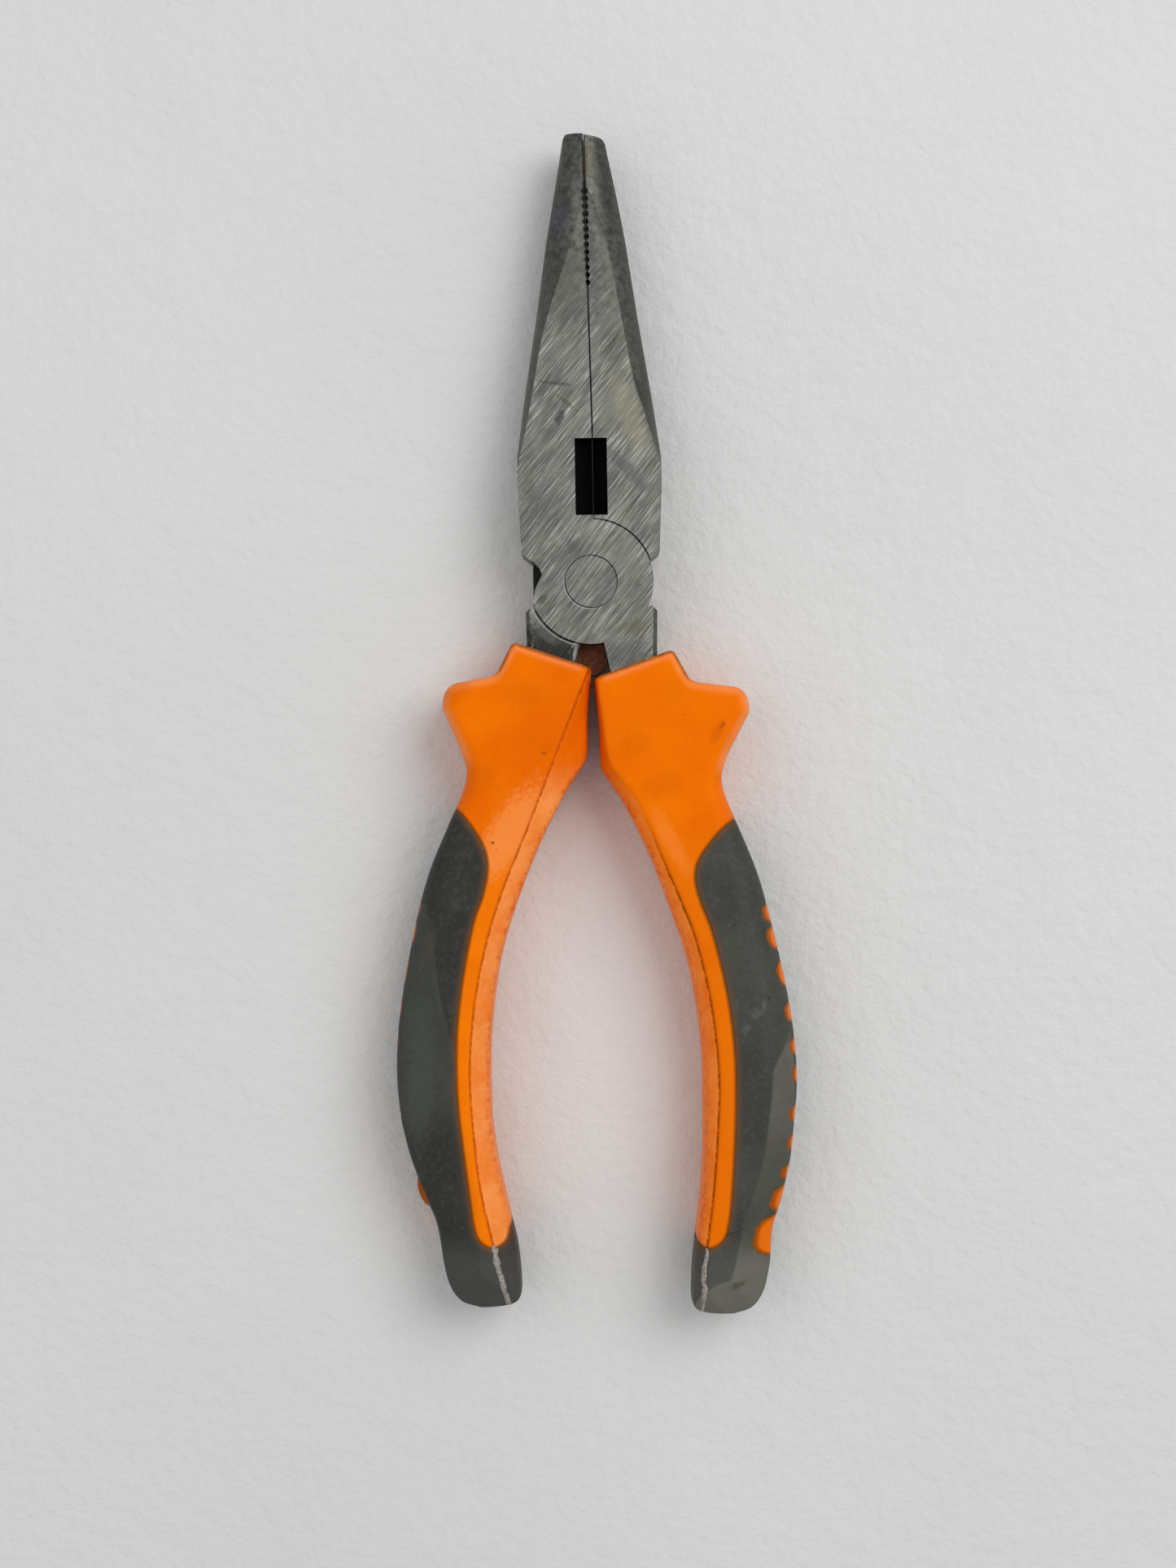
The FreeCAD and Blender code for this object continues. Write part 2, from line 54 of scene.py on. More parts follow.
# Every outline is in millimetres about the pivot, x outwards and y towards the tips, before SLEEVE_SHIFT.
GUARD_CORNERS = {
    "right": [(0.12, -15.9, 0.4), (13.9, -11.15, 1.0), (16.9, -16.7, 2.2), (26.3, -18.0, 2.8),
              (27.1, -21.9, 2.6)],
    "left": [(0.12, -15.9, 0.4), (13.7, -11.25, 1.0), (16.7, -17.0, 2.2), (25.4, -18.5, 3.0),
             (26.1, -22.3, 2.8)],
}
OUTER_EDGE = [(23.0, -29.6), (22.0, -33.2), (22.7, -36.8), (24.95, -42.0), (28.3, -50.0), (30.6, -58.0),
              (33.2, -70.0), (34.5, -79.5), (34.66, -88.0), (33.4, -98.0), (31.2, -106.0), (29.2, -111.6),
              (28.3, -118.0), (27.2, -122.4), (25.2, -125.2), (22.0, -126.35)]
INNER_EDGE = [(22.0, -126.35), (17.2, -125.95), (15.1, -124.9), (14.75, -122.5), (15.3, -116.0),
              (16.9, -107.0), (18.1, -98.0), (18.45, -88.0), (18.1, -78.0), (16.3, -66.0), (13.2, -56.0),
              (9.3, -46.0), (5.3, -38.0), (2.8, -34.0), (1.15, -31.0), (0.9, -24.0), (0.15, -16.5)]
CREASE = {
    "right": [(0.3, -12.5), (0.8, -18.0), (1.8, -26.0), (2.7, -30.5), (4.7, -33.4), (7.9, -38.0),
              (11.5, -47.0), (14.6, -54.5), (17.15, -61.5), (19.45, -72.0), (20.6, -83.0), (20.45, -92.0),
              (19.45, -104.5), (18.05, -115.0), (17.3, -124.0), (16.9, -130.0)],
    "left": [(-0.8, -12.5), (0.4, -15.7), (3.9, -24.2), (7.9, -34.1), (11.9, -44.0), (15.5, -52.5),
             (18.6, -61.5), (20.95, -72.0), (22.1, -83.0), (21.95, -92.0), (20.8, -104.5), (18.6, -115.0),
             (16.6, -124.0), (15.8, -130.0)],
}
SOFT_EDGE = {
    "right": [(26.75, -39.2), (23.55, -40.7), (20.65, -43.2), (17.65, -47.3), (16.95, -50.7),
              (17.85, -54.8), (19.75, -60.0), (22.05, -70.0), (23.25, -80.0), (23.3, -91.0),
              (22.5, -104.5), (21.6, -111.0), (20.4, -113.2), (18.4, -114.1), (16.6, -113.1),
              (15.9, -111.0), (14.6, -109.0), (11.5, -107.5)],
    "left": [(28.25, -37.6), (25.05, -38.9), (22.15, -41.4), (19.15, -46.2), (18.45, -50.2),
             (19.35, -54.8), (21.15, -60.0), (23.15, -70.0), (24.25, -80.0), (24.15, -91.0),
             (22.7, -104.5), (21.7, -112.0), (20.5, -114.4), (18.5, -115.3), (16.5, -114.4),
             (15.7, -112.0), (14.4, -109.6), (11.5, -107.5)],
}
SOFT_BEYOND = [(8.0, -107.5), (8.0, -134.0), (42.0, -134.0), (42.0, -38.6)]

# Along the grip: distance below the pivot against a size there.
SWAY = ([38.0, 56.0, 94.0, 106.0, 116.0], [0.0, -0.38, -0.32, 0.35, 0.8])
OUTER_RIM = ([13.0, 16.5, 20.0, 31.0, 40.0, 54.0, 70.0, 112.0, 122.0],
             [1.2, 1.5, 2.6, 2.6, 3.4, 5.4, 6.2, 5.8, 4.6])
INNER_RIM = ([16.5, 22.0, 31.0, 45.0, 112.0, 122.0], [0.5, 1.1, 1.3, 2.0, 2.0, 3.0])
BEVEL_WIDTH = {
    "right": ([15.0, 29.0, 34.0, 40.0, 70.0, 90.0, 125.0], [0.5, 1.0, 2.4, 3.0, 2.4, 2.6, 2.2]),
    "left": ([15.0, 24.0, 33.0, 39.0, 48.0, 70.0, 90.0, 125.0], [0.8, 3.2, 5.4, 4.8, 4.2, 3.4, 3.5, 2.8]),
}
FACET_WIDTH = {
    "right": ([74.0, 84.0, 99.0, 112.0, 124.0], [0.8, 4.0, 4.3, 4.8, 6.0]),
    "left": ([56.0, 70.0, 78.0, 84.0, 100.0, 110.0, 123.0], [1.8, 5.2, 7.8, 10.2, 10.0, 7.4, 5.2]),
}
TAIL_TAPER = ([95.0, 108.0, 118.0, 127.0], [0.0, 0.12, 0.4, 1.0])

# The rounding goes over from the inner rim's to the outer rim's between these distances from the crease.
RIM_CHANGE = (1.0, 6.0)

# The creased bevel on the inner side, and the parting seam along its crease.
BEVEL_DROP = 3.8
EDGE_BLEND = 0.5
SEAM_DEPTH = 0.16
SEAM_HALF = 0.22
SEAM_HIGH, SEAM_LOW = 1.5, 3.0

# The shallow facets on the outer side and on the tail.
FACET_START = {"right": 74.0, "left": 56.0}
FACET_CUT = 0.25
FACET_DROP = 3.4
FACET_BLEND = 0.14
NO_FACET = -9.0
TAIL_RIDGE = {"right": (118.9, 0.16), "left": (118.6, 0.18)}
TAIL_WIDTH = 4.4

# The ovals on the outer spine lie within this distance of the outer edge.
SPINE_BAND = 5.0
# Each oval's (y, half length, half height).
WINDOWS = [(-57.0, 1.5, 4.0), (-61.2, 2.0, 4.3), (-67.4, 2.2, 3.7), (-74.2, 1.6, 3.6), (-80.1, 1.4, 3.4),
           (-84.9, 1.4, 3.1), (-91.6, 1.5, 3.3), (-96.6, 1.4, 3.2), (-101.7, 1.3, 3.3),
           (-106.2, 2.4, 3.9), (-112.5, 3.6, 4.6)]
# How far each grip's roll lifts its windows, against the distance below the pivot.
WINDOW_LIFT = {
    "right": ([56.0, 114.0], [2.2, 2.2]),
    "left": ([56.0, 104.0, 107.0, 111.0], [0.3, 0.1, 0.4, -2.4]),
}
# A drop of sleeve plastic squeezed out of one window of the left grip.
DROP_Y, DROP_Z, DROP_HALF_LENGTH, DROP_HALF_HEIGHT = -106.6, 2.4, 2.4, 2.6
DROP_OUT = {"right": 0.0, "left": 0.75}
DROP_FROM, DROP_FULL = 26.0, 29.0

# The ragged fin along each tail's parting line: how its skin is divided, how it leans and how it strays.
FIN_RINGS, FIN_SIDES = 44, 8
FIN_LEAN = 0.5
FIN_BENDS, FIN_WANDER = 11, 0.13
# Its sizes along the line: (y, half width, height).
FINS = {
    "right": [(-114.2, 0.2, 0.2), (-115.4, 0.36, 0.4), (-117.0, 0.28, 0.5), (-118.6, 0.44, 0.5),
              (-120.2, 0.4, 0.55), (-121.6, 0.46, 0.45), (-123.0, 0.36, 0.5), (-124.2, 0.3, 0.4),
              (-125.6, 0.24, 0.3)],
    "left": [(-114.9, 0.3, 0.3), (-115.7, 0.6, 0.5), (-116.6, 0.34, 0.4), (-117.6, 0.6, 0.5),
             (-119.2, 0.42, 0.4), (-121.0, 0.5, 0.5), (-122.6, 0.44, 0.45), (-124.0, 0.52, 0.4),
             (-125.8, 0.4, 0.3)],
}

# The sleeve lies this far under the soft layer's top, and the layer is this thick, so that they overlap.
SLEEVE_SUNK = 0.7
LAYER_THICK = 1.1
LAYER_INSET = 0.08
LAYER_BLEND = 0.12

RIVET_HEAD = 4.5
DISC_RADIUS = 10.87
LEVER_TOP = 5.22

# Places of the head's hollows: (middle x, half width, middle y, half length).
CUTTER_WINDOW = (0.3, 2.9, 18.15, 6.75)
SIDE_NOTCH = (-10.6, 2.3, -0.3, 3.85)
SHANK_FORK = (0.2, 3.4, -13.9, 4.4)

# The line where the jaws meet: upright up to the bend, then leaning left.
GAP_X, GAP_BEND, GAP_LEAN = 0.6, 26.0, 0.0155
TEETH_LOW, TEETH_HIGH, TOOTH_PITCH = 51.0, 68.2, 1.32
# The dark strip that stands for the shade between the jaws: its ends, its lower and upper edges, and its
# reach to each side of the line.
SHADE_STRIP_START, SHADE_STRIP_END = 25.3, 77.45
SHADE_STRIP_LOW, SHADE_STRIP_HIGH = -2.4, 0.5
SHADE_STRIP_LEFT, SHADE_STRIP_RIGHT = 0.058, 0.02

# The camera looks straight down, and its view is this tall at the pivot's height, in metres.
VIEW_TALL = 0.2741
VIEW_DISTANCE = 0.46
VIEW_ASIDE, VIEW_BELOW = 0.00108, 0.035
# Its sensor's height in millimetres, and its turn in degrees.
VIEW_SENSOR = 36.0
VIEW_TURN = -0.9
# The floor's half width and each lamp's (name, place, size, power), in metres and watts.
FLOOR_HALF = 8.0
LAMPS = (("key", (0.5, 0.35, 0.85), 0.7, 5.6), ("fill", (-0.55, 0.1, 0.95), 0.9, 2.0))

# Display colours of each side's parts.
STRIP_COLOUR = {"right": (232, 112, 6), "left": (246, 124, 6)}
SEAM_START = {"right": (38.0, 52.0), "left": (12.0, 16.0)}
SEAM_COLOUR = {"right": (138, 54, 8), "left": (176, 70, 12)}
# The inner bevel's colours are painted light: paler where it faces the lamps and the pale room.
BEVEL_LIT_COLOURS = {"right": ((248, 118, 20), (255, 148, 56)), "left": ((246, 132, 48), (255, 158, 84))}
# The facets' colours are painted light: lighter than the grey where a facet tilts towards the lamps.
FACET_LIT_COLOUR = {"right": (122, 120, 107), "left": (70, 73, 68)}
# How much of the facets' painted light shows on the tail.
FACET_TAIL = {"right": 1.0, "left": 0.4}
GREY_COLOURS = {"right": ((49, 49, 43), (65, 65, 58)), "left": ((30, 31, 27), (45, 46, 41))}

# Stains, a few painted highlights and a painted sheen, in millimetres about the pivot:
# (x, y, half length, half width, direction in degrees, colour, strength).
# The first patch, bluish on the left jaw, is a painted sheen.
FRONT_STAINS_AND_HIGHLIGHTS = [(-4.4, 63.0, 3.6, 1.7, 84, (84, 86, 104), 0.35),
                (-5.0, 28.4, 1.5, 0.8, 60, (46, 45, 42), 0.7),
                (-6.0, 34.4, 3.8, 0.35, -8, (64, 62, 56), 0.5),
                (-3.8, 31.0, 2.4, 0.4, -40, (66, 64, 58), 0.5),
                # A painted highlight along the left jaw's ridge.
                (-1.4, 62.5, 6.0, 0.9, 93, (132, 130, 122), 0.25),
                (-8.9, 44.0, 14.0, 1.0, 80, (80, 75, 64), 0.3),
                (-7.2, 13.6, 6.0, 4.0, 90, (88, 89, 84), 0.35),
                (6.2, 3.0, 4.6, 3.6, 20, (146, 146, 139), 0.3),
                (-4.0, 52.0, 6.0, 3.0, 80, (84, 82, 74), 0.4),
                (-10.5, 20.0, 6.0, 1.4, 88, (84, 84, 78), 0.4),
                (7.4, -7.8, 3.0, 1.4, 12, (88, 84, 58), 0.45),
                (3.2, -8.4, 2.0, 0.9, 0, (88, 84, 62), 0.35),
                (6.0, -13.0, 5.0, 2.4, 10, (70, 74, 74), 0.5),
                (-2.6, 5.0, 3.2, 1.0, -55, (84, 88, 92), 0.4),
                (-8.6, -3.0, 1.2, 0.8, 30, (60, 59, 54), 0.5)]
REAR_STAINS_AND_HIGHLIGHTS = [(0.0, 72.8, 3.9, 0.5, 94, (84, 60, 38), 0.75),
               (0.5, 73.6, 3.0, 0.9, 94, (96, 84, 64), 0.45),
               # A painted highlight along the right jaw's ridge.
               (2.9, 58.0, 9.0, 0.9, 108, (126, 125, 117), 0.3),
               (6.4, 19.6, 4.8, 1.3, -48, (80, 84, 86), 0.6),
               (2.8, 67.0, 9.0, 1.9, 96, (62, 63, 56), 0.55),
               (10.3, 31.0, 10.0, 0.9, 98, (72, 72, 64), 0.55),
               (7.0, 29.0, 7.0, 2.2, 110, (144, 138, 114), 0.4),
               (4.6, 41.0, 3.0, 1.2, 60, (78, 77, 71), 0.4),
               (8.7, 33.0, 3.0, 0.6, 108, (46, 45, 42), 0.5),
               (-6.6, -11.4, 7.0, 3.6, -28, (33, 33, 30), 0.9),
               (-7.6, -9.4, 2.4, 1.0, -30, (112, 116, 112), 0.4),
               # A painted highlight on the edge of the fork between the shanks.
               (-3.0, -12.4, 1.5, 0.3, 80, (180, 182, 176), 0.5)]
SLEEVE_STAINS = {
    "right": [(7.0, -28.5, 3.4, 2.2, 20, (214, 92, 2), 0.3),
              (11.4, -35.5, 4.8, 2.4, 10, (216, 92, 2), 0.3),
              (21.4, -26.3, 2.6, 1.0, 60, (192, 82, 6), 0.4),
              (22.1, -25.4, 0.8, 0.25, 50, (140, 54, 8), 0.55),
              (15.0, -19.0, 6.0, 2.6, 0, (218, 94, 2), 0.2),
              (13.0, -45.0, 7.0, 1.6, -62, (248, 140, 56), 0.4)],
    "left": [(-23.4, -18.8, 3.4, 1.8, 40, (206, 92, 2), 0.4),
             (-11.2, -19.8, 5.4, 2.4, 0, (218, 98, 2), 0.25),
             (-19.4, -34.2, 4.0, 2.2, 50, (214, 96, 2), 0.3),
             (-7.4, -28.6, 2.2, 1.2, 0, (212, 94, 2), 0.3),
             (-14.6, -43.0, 10.0, 3.6, 58, (250, 148, 74), 0.7),
             (-8.6, -29.6, 0.5, 0.35, 0, (150, 62, 10), 0.6),
             (-17.6, -44.8, 0.3, 0.26, 0, (64, 26, 8), 0.85),
             (-31.6, -105.7, 2.6, 1.2, 96, (140, 76, 30), 0.85)],
}
LAYER_STAINS = {
    "right": [(27.2, -74.8, 1.4, 0.9, 60, (116, 116, 109), 0.22),
              (25.4, -77.4, 1.2, 0.7, 40, (116, 116, 109), 0.22),
              (28.6, -73.4, 0.9, 0.5, 80, (124, 124, 117), 0.25),
              (29.4, -72.2, 0.35, 0.3, 0, (20, 20, 19), 0.8),
              (23.6, -59.6, 1.1, 0.16, 40, (26, 26, 24), 0.6),
              (29.6, -82.6, 0.35, 0.25, 0, (20, 20, 19), 0.7),
              (23.4, -121.6, 1.4, 0.7, 20, (58, 56, 30), 0.6),
              (22.6, -112.4, 2.2, 0.14, 20, (30, 28, 24), 0.7)],
    "left": [(-18.9, -44.6, 1.2, 0.14, 70, (150, 140, 120), 0.7),
             (-24.6, -49.5, 1.2, 0.2, 5, (26, 26, 24), 0.6),
             (-29.2, -63.0, 5.0, 1.4, 75, (82, 72, 58), 0.3),
             (-30.6, -84.0, 15.0, 2.6, 88, (72, 76, 71), 0.4)],
}


def smooth_path(points, steps=10):
    """A Catmull-Rom curve through the points."""
    points = np.array(points, float)
    ends = np.vstack([2 * points[0] - points[1], points, 2 * points[-1] - points[-2]])
    t = np.linspace(0, 1, steps, endpoint=False)[:, None]
    pieces = []
    for a, b, c, d in zip(ends, ends[1:], ends[2:], ends[3:]):
        pieces.append(0.5 * (2 * b + (c - a) * t + (2 * a - 5 * b + 4 * c - d) * t ** 2
                             + (3 * b - a - 3 * c + d) * t ** 3))
    return np.vstack(pieces + [points[-1:]])


def rounded_path(corners, before, after, steps=6):
    """Straight runs joined by arcs: each corner is (x, y, radius)."""
    spots = [before] + [corner[:2] for corner in corners] + [after]
    path = []
    for index, (x, y, radius) in enumerate(corners):
        corner = np.array((x, y))
        back = np.array(spots[index]) - corner
        ahead = np.array(spots[index + 2]) - corner
        back /= np.linalg.norm(back)
        ahead /= np.linalg.norm(ahead)
        half = math.acos(np.clip(back @ ahead, -1, 1)) / 2
        inset = radius / math.tan(half)
        centre = corner + (back + ahead) / np.linalg.norm(back + ahead) * radius / math.sin(half)
        start = corner + back * inset - centre
        end = corner + ahead * inset - centre
        turn = math.atan2(start[0] * end[1] - start[1] * end[0], start @ end)
        for angle in np.linspace(0, turn, steps):
            c, s = math.cos(angle), math.sin(angle)
            path.append(centre + (c * start[0] - s * start[1], s * start[0] + c * start[1]))
    return np.array(path)


def path_distance(x, y, path):
    """Distance from each point to a path, and which side of it the point lies on."""
    best = np.full(x.shape, 1e9)
    side = np.ones(x.shape)
    for (ax, ay), (bx, by) in zip(path, path[1:]):
        dx, dy = bx - ax, by - ay
        length = dx * dx + dy * dy
        if length < 1e-9:
            continue
        t = np.clip(((x - ax) * dx + (y - ay) * dy) / length, 0, 1)
        gap = (x - ax - t * dx) ** 2 + (y - ay - t * dy) ** 2
        nearer = gap < best
        best = np.where(nearer, gap, best)
        side = np.where(nearer, np.sign(dx * (y - ay) - dy * (x - ax)), side)
    return np.sqrt(best), side


def inside_loop(x, y, path):
    """True inside a closed loop, by counting crossings."""
    inside = np.zeros(x.shape, bool)
    for (ax, ay), (bx, by) in zip(path, np.roll(path, -1, axis=0)):
        crosses = (ay > y) != (by > y)
        if ay != by:
            inside ^= crosses & (x < (bx - ax) * (y - ay) / (by - ay) + ax)
    return inside


def loop_distance(x, y, path):
    """Distance to a closed loop, positive inside."""
    gap, _ = path_distance(x, y, np.vstack([path, path[:1]]))
    return np.where(inside_loop(x, y, path), gap, -gap)


class Plan:
    """A grip seen from above: distances to its edge, its crease and the soft layer's edge."""

    def __init__(self, label):
        self.label = label
        self.low = np.array((-1.5, -128.5))
        self.pitch = 0.25
        xs = np.arange(self.low[0], 37.0, self.pitch)
        ys = np.arange(self.low[1], -9.0, self.pitch)
        x, y = np.meshgrid(xs, ys, indexing="ij")
        guard = rounded_path(GUARD_CORNERS[label], INNER_EDGE[-1], OUTER_EDGE[0])
        outer = smooth_path(OUTER_EDGE)
        inner = smooth_path(INNER_EDGE)
        soft = np.vstack([smooth_path(SOFT_EDGE[label]), SOFT_BEYOND])
        crease_gap, crease_side = path_distance(x, y, smooth_path(CREASE[label]))
        swayed = x - SIDES[label] * np.interp(-y, *SWAY)
        outer_gap, outer_side = path_distance(swayed, y, outer)
        self.fields = {
            "edge": loop_distance(swayed, y, np.vstack([guard, outer, inner[1:]])),
            "crease": crease_gap * crease_side,
            "outer": -outer_gap * outer_side,
            "soft": loop_distance(x, y, soft),
        }

    def at(self, name, x, y):
        """The field at any points, blended between the grid's four nearest."""
        field = self.fields[name]
        u = np.clip((x - self.low[0]) / self.pitch, 0, field.shape[0] - 1.001)
        v = np.clip((y - self.low[1]) / self.pitch, 0, field.shape[1] - 1.001)
        i, j = u.astype(int), v.astype(int)
        u, v = u - i, v - j
        return ((1 - u) * (1 - v) * field[i, j] + u * (1 - v) * field[i + 1, j]
                + (1 - u) * v * field[i, j + 1] + u * v * field[i + 1, j + 1])


def smooth_step(value, low, high):
    """0 up to low, 1 past high, and a smooth change between them."""
    t = np.clip((value - low) / (high - low), 0, 1)
    return t * t * (3 - 2 * t)


def smooth_max(a, b, blend):
    """The larger value, with the corner where they cross rounded over the blend."""
    return 0.5 * (a + b + np.sqrt((a - b) ** 2 + blend ** 2))


def facet_form(x, y, z, plan):
    """Depth outside the two shallow facets on the grip's outer side and its tail, negative inside."""
    below = -y
    drop = np.abs(z) - GRIP_HALF + np.interp(below, *TAIL_TAPER)
    ridge = np.interp(below, *FACET_WIDTH[plan.label])
    outer = plan.at("outer", x, y)
    side_facet = ((ridge - outer) * FACET_DROP + drop * ridge) / np.hypot(ridge, FACET_DROP) + FACET_CUT
    side_facet = np.where(below > FACET_START[plan.label], side_facet, NO_FACET)
    start, slant = TAIL_RIDGE[plan.label]
    along = below - start - slant * x
    tail_facet = (along * FACET_DROP + drop * TAIL_WIDTH) / math.hypot(TAIL_WIDTH, FACET_DROP)
    return np.maximum(side_facet, tail_facet)


def grip_form(x, y, z, plan):
    """Depth outside the grip's surface in millimetres, negative inside."""
    edge = plan.at("edge", x, y)
    crease = plan.at("crease", x, y)
    reach = np.abs(z)
    below = -y
    top = GRIP_HALF - np.interp(below, *TAIL_TAPER)
    rim = np.interp(below, *INNER_RIM)
    rim = rim + (np.interp(below, *OUTER_RIM) - rim) * smooth_step(crease, *RIM_CHANGE)
    across = rim - edge
    up = reach - (top - rim)
    prism = np.hypot(np.maximum(across, 0), np.maximum(up, 0)) + np.minimum(np.maximum(across, up), 0) - rim
    width = np.interp(below, *BEVEL_WIDTH[plan.label])
    bevel = (-crease * BEVEL_DROP + (reach - top) * width) / np.hypot(width, BEVEL_DROP)
    shape = smooth_max(prism, bevel, EDGE_BLEND)
    shape = smooth_max(shape, facet_form(x, y, z, plan), FACET_BLEND)
    seam = smooth_step(reach, top - SEAM_LOW, top - SEAM_HIGH) * smooth_step(below, *SEAM_START[plan.label])
    return shape + SEAM_DEPTH * np.exp(-(crease / SEAM_HALF) ** 2) * seam


def soft_depth(x, y, z, plan):
    """How far inside the soft layer's region a point is, with the windows taken out."""
    depth = plan.at("soft", x, y)
    on_spine = plan.at("outer", x, y) < SPINE_BAND
    for centre, half_length, half_height in WINDOWS:
        lift = np.interp(-centre, *WINDOW_LIFT[plan.label])
        along = np.abs((y - centre) / half_length)
        across = np.abs((z - lift) / half_height)
        oval = (along ** 3 + across ** 3) ** (1 / 3) - 1
        depth = np.where(on_spine, np.minimum(depth, oval * half_length), depth)
    return depth


def surface_net(values, low, step):
    """Quads through the cells where the values change sign, one vertex in each such cell."""
    inside = values < 0
    cells = tuple(n - 1 for n in values.shape)
    total = np.zeros(cells + (3,))
    count = np.zeros(cells)
    for axis in range(3):
        first = tuple(slice(0, -1) if a == axis else slice(None) for a in range(3))
        second = tuple(slice(1, None) if a == axis else slice(None) for a in range(3))
        crossed = inside[first] != inside[second]
        gap = values[first] - values[second]
        t = np.where(crossed, values[first] / np.where(crossed, gap, 1), 0)
        others = [a for a in range(3) if a != axis]
        for corner in range(4):
            offset = [0, 0, 0]
            offset[others[0]] = corner & 1
            offset[others[1]] = corner >> 1
            part = tuple(slice(None) if a == axis else slice(offset[a], offset[a] + cells[a])
                         for a in range(3))
            hit = crossed[part]
            count += hit
            total[..., axis] += np.where(hit, t[part], 0)
            for other in others:
                total[..., other] += hit * offset[other]
    used = count > 0
    number = np.full(cells, -1)
    number[used] = np.arange(used.sum())
    places = np.argwhere(used) + total[used] / count[used][:, None]
    quads = []
    for axis in range(3):
        first = tuple(slice(0, -1) if a == axis else slice(None) for a in range(3))
        second = tuple(slice(1, None) if a == axis else slice(None) for a in range(3))
        i = np.argwhere(inside[first] != inside[second])
        b, c = [a for a in range(3) if a != axis]
        i = i[(i[:, b] > 0) & (i[:, c] > 0) & (i[:, b] < cells[b]) & (i[:, c] < cells[c])]
        flip = inside[first][tuple(i.T)] ^ (axis == 1)
        around = []
        for db, dc in ((-1, -1), (0, -1), (0, 0), (-1, 0)):
            j = i.copy()
            j[:, b] += db
            j[:, c] += dc
            around.append(number[tuple(j.T)])
        quad = np.stack(around, axis=1)
        quads.append(np.where(flip[:, None], quad, quad[:, ::-1]))
    return places * step + low, np.vstack(quads)


def settle(points, form):
    """Moves each vertex onto the exact surface, in a few short moves along the form's slope."""
    tiny, gentlest, longest = 0.02, 0.2, 0.2
    for _ in range(4):
        x, y, z = points.T
        value = form(x, y, z)
        slope = np.stack([(form(x + tiny, y, z) - form(x - tiny, y, z)),
                          (form(x, y + tiny, z) - form(x, y - tiny, z)),
                          (form(x, y, z + tiny) - form(x, y, z - tiny))], axis=1) / (2 * tiny)
        steep = np.maximum((slope ** 2).sum(1), gentlest)
        move = -slope * (value / steep)[:, None]
        points = points + np.clip(move, -longest, longest)
    return points


def sleeve_place(points, side):
    """From grip millimetres to the row frame in metres."""
    x, y, z = points.T
    about_pivot = np.stack([side * x, y - side * SLEEVE_SHIFT, z], axis=1)
    return about_pivot * MM + np.array(PIVOT)


def grip_piece(name, side, plan, form):
    """One closed skin of a grip, with the distances its material needs kept on its points."""
    low = np.array((-1.0, -127.6, -9.5))
    xs = np.arange(low[0], 36.4, STEP)
    ys = np.arange(low[1], -10.0, STEP)
    zs = np.arange(low[2], 9.6, STEP)
    x, y, z = np.meshgrid(xs, ys, zs, indexing="ij")
    points, quads = surface_net(form(x, y, z), low, STEP)
    points = settle(points, form)
    mesh = bpy.data.meshes.new(name)
    faces = quads if side > 0 else quads[:, ::-1]
    mesh.from_pydata(sleeve_place(points, side).tolist(), [], faces.tolist())
    x, y, z = points.T
    notes = {
        "crease": plan.at("crease", x, y),
        "edge": plan.at("edge", x, y),
        "soft": soft_depth(x, y, z, plan),
        "border": plan.at("soft", x, y),
        "facet": facet_form(x, y, z, plan),
        "reach": np.abs(z),
        "below": -y,
    }
    for label, values in notes.items():
        attribute = mesh.attributes.new(label, "FLOAT", "POINT")
        attribute.data.foreach_set("value", values.astype(np.float32))
    mesh.polygons.foreach_set("use_smooth", np.ones(len(mesh.polygons), bool))
    mesh.update()
    piece = bpy.data.objects.new(name, mesh)
    bpy.context.collection.objects.link(piece)
    return piece


def make_grip(label, plan):
    """The firm sleeve and the soft layer over it, standing for the two CAD nodes."""
    side = SIDES[label]

    def firm(x, y, z):
        under = smooth_step(soft_depth(x, y, z, plan), 0.0, SLEEVE_SUNK)
        away = ((y - DROP_Y) / DROP_HALF_LENGTH) ** 2 + ((z - DROP_Z) / DROP_HALF_HEIGHT) ** 2
        bulge = DROP_OUT[label] * np.exp(-away ** 2) * smooth_step(x, DROP_FROM, DROP_FULL)
        return grip_form(x, y, z, plan) + SLEEVE_SUNK * under - bulge

    def soft(x, y, z):
        shape = grip_form(x, y, z, plan)
        hollow = -(shape + LAYER_THICK)
        shell = np.maximum(shape, hollow)
        return smooth_max(shell, LAYER_INSET - soft_depth(x, y, z, plan), LAYER_BLEND)

    sleeve = grip_piece(label + "_sleeve", side, plan, firm)
    layer = grip_piece(label + "_soft_layer", side, plan, soft)
    for piece, node, slot in ((sleeve, label + "_grip_body", "orange_sleeve"),
                              (layer, label + "_grip_overmould", "grey_overmould")):
        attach(piece, BODY_OF[label])
        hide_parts(node)
    return sleeve, layer


